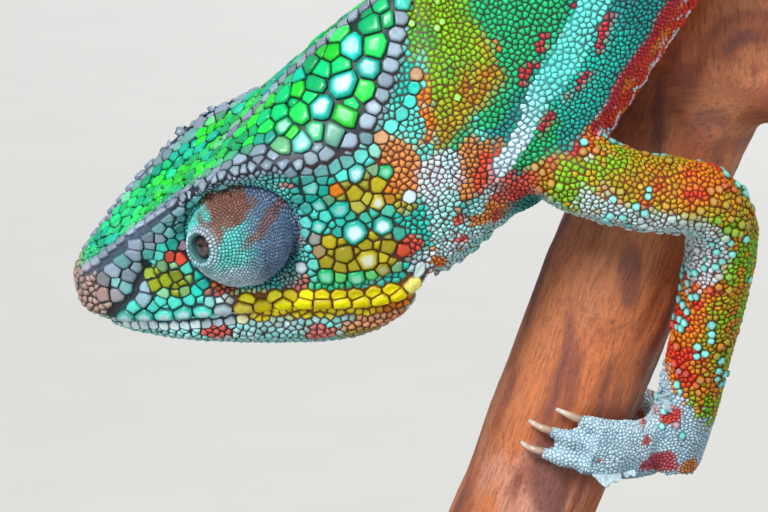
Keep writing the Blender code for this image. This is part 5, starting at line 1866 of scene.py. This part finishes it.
def make_stage():
    scene = bpy.context.scene
    scene.view_settings.view_transform = "Standard"
    stage = scene.chameleon_stage
    bpy.ops.object.select_all(action="DESELECT")
    bpy.ops.mesh.primitive_plane_add(size=6.0, location=(0, 0, -0.0002))
    floor = bpy.context.view_layer.objects.active
    floor.name = "floor"
    m = Nodes("floor")
    speckle = m.mapped(m.noise(m.place(), 40.0), 0.3, 0.7, 0.97, 1.0)
    m.link(m.blend(1.0, tuple(stage.floor), m.grey(speckle), "MULTIPLY"), "Base Color")
    away = m.add("VectorMath", {"Vector": m.place()}, operation="LENGTH").outputs["Value"]
    m.link(m.mapped(away, 0.3, 1.6, 0.0, 0.5), "Emission Strength")
    m.set(Roughness=0.8, Emission_Color=(*stage.floor, 1.0))
    floor.data.materials.append(m.material)
    lights = [
        ("key", (-0.45, -0.75, 0.85), 0.34, 14.5, (1.0, 0.98, 0.95)),
        ("fill", (0.75, -0.60, 0.45), 0.8, 2.6, (0.95, 0.97, 1.0)),
        ("rim", (0.25, 0.80, 0.70), 0.6, 6.0, (1.0, 1.0, 1.0)),
    ]
    target = Vector(TARGET) * MM
    for name, place, size, power, colour in lights:
        bpy.ops.object.light_add(type="AREA", location=place)
        light = bpy.context.view_layer.objects.active
        light.name = name
        light.data.size = size
        light.data.energy = power
        light.data.color = colour
        light.rotation_euler = (Vector(place) - target).to_track_quat("Z", "Y").to_euler()
    world = bpy.data.worlds.new("studio")
    world.use_nodes = True
    tree = world.node_tree
    light = tree.nodes["Background"]
    light.inputs["Color"].default_value = (0.80, 0.84, 0.88, 1.0)
    light.inputs["Strength"].default_value = 0.3
    seen = tree.nodes.new("ShaderNodeBackground")
    seen.inputs["Color"].default_value = (0.64, 0.64, 0.62, 1.0)
    seen.inputs["Strength"].default_value = 1.0
    path = tree.nodes.new("ShaderNodeLightPath")
    both = tree.nodes.new("ShaderNodeMixShader")
    tree.links.new(path.outputs["Is Camera Ray"], both.inputs[0])
    tree.links.new(light.outputs[0], both.inputs[1])
    tree.links.new(seen.outputs[0], both.inputs[2])
    tree.links.new(both.outputs[0], tree.nodes["World Output"].inputs[0])
    scene.world = world
    away = Vector((0, -math.cos(VIEW_RISE), math.sin(VIEW_RISE)))
    place = target + away * stage.view_distance
    bpy.ops.object.camera_add(location=place, rotation=away.to_track_quat("Z", "Y").to_euler())
    camera = bpy.context.view_layer.objects.active
    camera.name = "camera"
    camera.data.sensor_width = 36.0
    camera.data.lens = 36.0 * stage.view_distance / stage.view_width
    camera.data.clip_start = 0.01
    scene.camera = camera


# Operators, panel and running --------------------
class CHAMELEON_OT_skin(bpy.types.Operator):
    """Make one skin from the solids of flesh, with its folds, lids and markings"""

    bl_idname = "chameleon.skin"
    bl_label = "Skin"

    def execute(self, context):
        make_skin()
        return {"FINISHED"}


class CHAMELEON_OT_coat(bpy.types.Operator):
    """Lay the scales over the skin as solid mesh"""

    bl_idname = "chameleon.coat"
    bl_label = "Scales"

    def execute(self, context):
        make_coat()
        return {"FINISHED"}


class CHAMELEON_OT_lids(bpy.types.Operator):
    """Lay rings of granules over the eyelids"""

    bl_idname = "chameleon.lids"
    bl_label = "Lid scales"

    def execute(self, context):
        make_lid_scales()
        return {"FINISHED"}


class CHAMELEON_OT_crests(bpy.types.Operator):
    """Add the small cones of back and throat"""

    bl_idname = "chameleon.crests"
    bl_label = "Crests"

    def execute(self, context):
        make_crests()
        return {"FINISHED"}


class CHAMELEON_OT_flakes(bpy.types.Operator):
    """Add the loose flakes of old skin"""

    bl_idname = "chameleon.flakes"
    bl_label = "Flakes"

    def execute(self, context):
        make_flakes()
        return {"FINISHED"}


class CHAMELEON_OT_eyes(bpy.types.Operator):
    """Add the eyeballs behind the lids"""

    bl_idname = "chameleon.eyes"
    bl_label = "Eyes"

    def execute(self, context):
        make_eyes()
        return {"FINISHED"}


class CHAMELEON_OT_claws(bpy.types.Operator):
    """Add the horn of the claws"""

    bl_idname = "chameleon.claws"
    bl_label = "Claws"

    def execute(self, context):
        make_claws()
        return {"FINISHED"}


class CHAMELEON_OT_branch(bpy.types.Operator):
    """Make the branch with its grain, streaks and knot"""

    bl_idname = "chameleon.branch"
    bl_label = "Branch"

    def execute(self, context):
        make_branch()
        return {"FINISHED"}


class CHAMELEON_OT_stand(bpy.types.Operator):
    """Finish the display stand"""

    bl_idname = "chameleon.stand"
    bl_label = "Stand"

    def execute(self, context):
        make_stand()
        return {"FINISHED"}


class CHAMELEON_OT_stage(bpy.types.Operator):
    """Add the floor, the studio lights and the camera"""

    bl_idname = "chameleon.stage"
    bl_label = "Stage"

    def execute(self, context):
        make_stage()
        return {"FINISHED"}


OPERATORS = (
    CHAMELEON_OT_skin,
    CHAMELEON_OT_coat,
    CHAMELEON_OT_lids,
    CHAMELEON_OT_crests,
    CHAMELEON_OT_flakes,
    CHAMELEON_OT_eyes,
    CHAMELEON_OT_claws,
    CHAMELEON_OT_branch,
    CHAMELEON_OT_stand,
    CHAMELEON_OT_stage,
)
GROUPS = {
    "chameleon_sizes": CHAMELEON_PG_sizes,
    "chameleon_colours": CHAMELEON_PG_colours,
    "chameleon_stage": CHAMELEON_PG_stage,
}


class CHAMELEON_PT_panel(bpy.types.Panel):
    """Settings and pieces of the chameleon"""

    bl_label = "Chameleon"
    bl_idname = "CHAMELEON_PT_panel"
    bl_space_type = "VIEW_3D"
    bl_region_type = "UI"
    bl_category = "Chameleon"

    def draw(self, context):
        for key in GROUPS:
            group = getattr(context.scene, key)
            for name in group.__annotations__:
                self.layout.prop(group, name)
        for operator in OPERATORS:
            self.layout.operator(operator.bl_idname)


def register():
    for item in (*GROUPS.values(), *OPERATORS, CHAMELEON_PT_panel):
        bpy.utils.register_class(item)
    for key, group in GROUPS.items():
        setattr(bpy.types.Scene, key, PointerProperty(type=group))


def unregister():
    for key in GROUPS:
        delattr(bpy.types.Scene, key)
    for item in (CHAMELEON_PT_panel, *OPERATORS, *GROUPS.values()):
        bpy.utils.unregister_class(item)


def main():
    register()
    for operator in OPERATORS:
        getattr(bpy.ops.chameleon, operator.bl_idname.split(".")[1])()


if __name__ == "__main__":
    main()
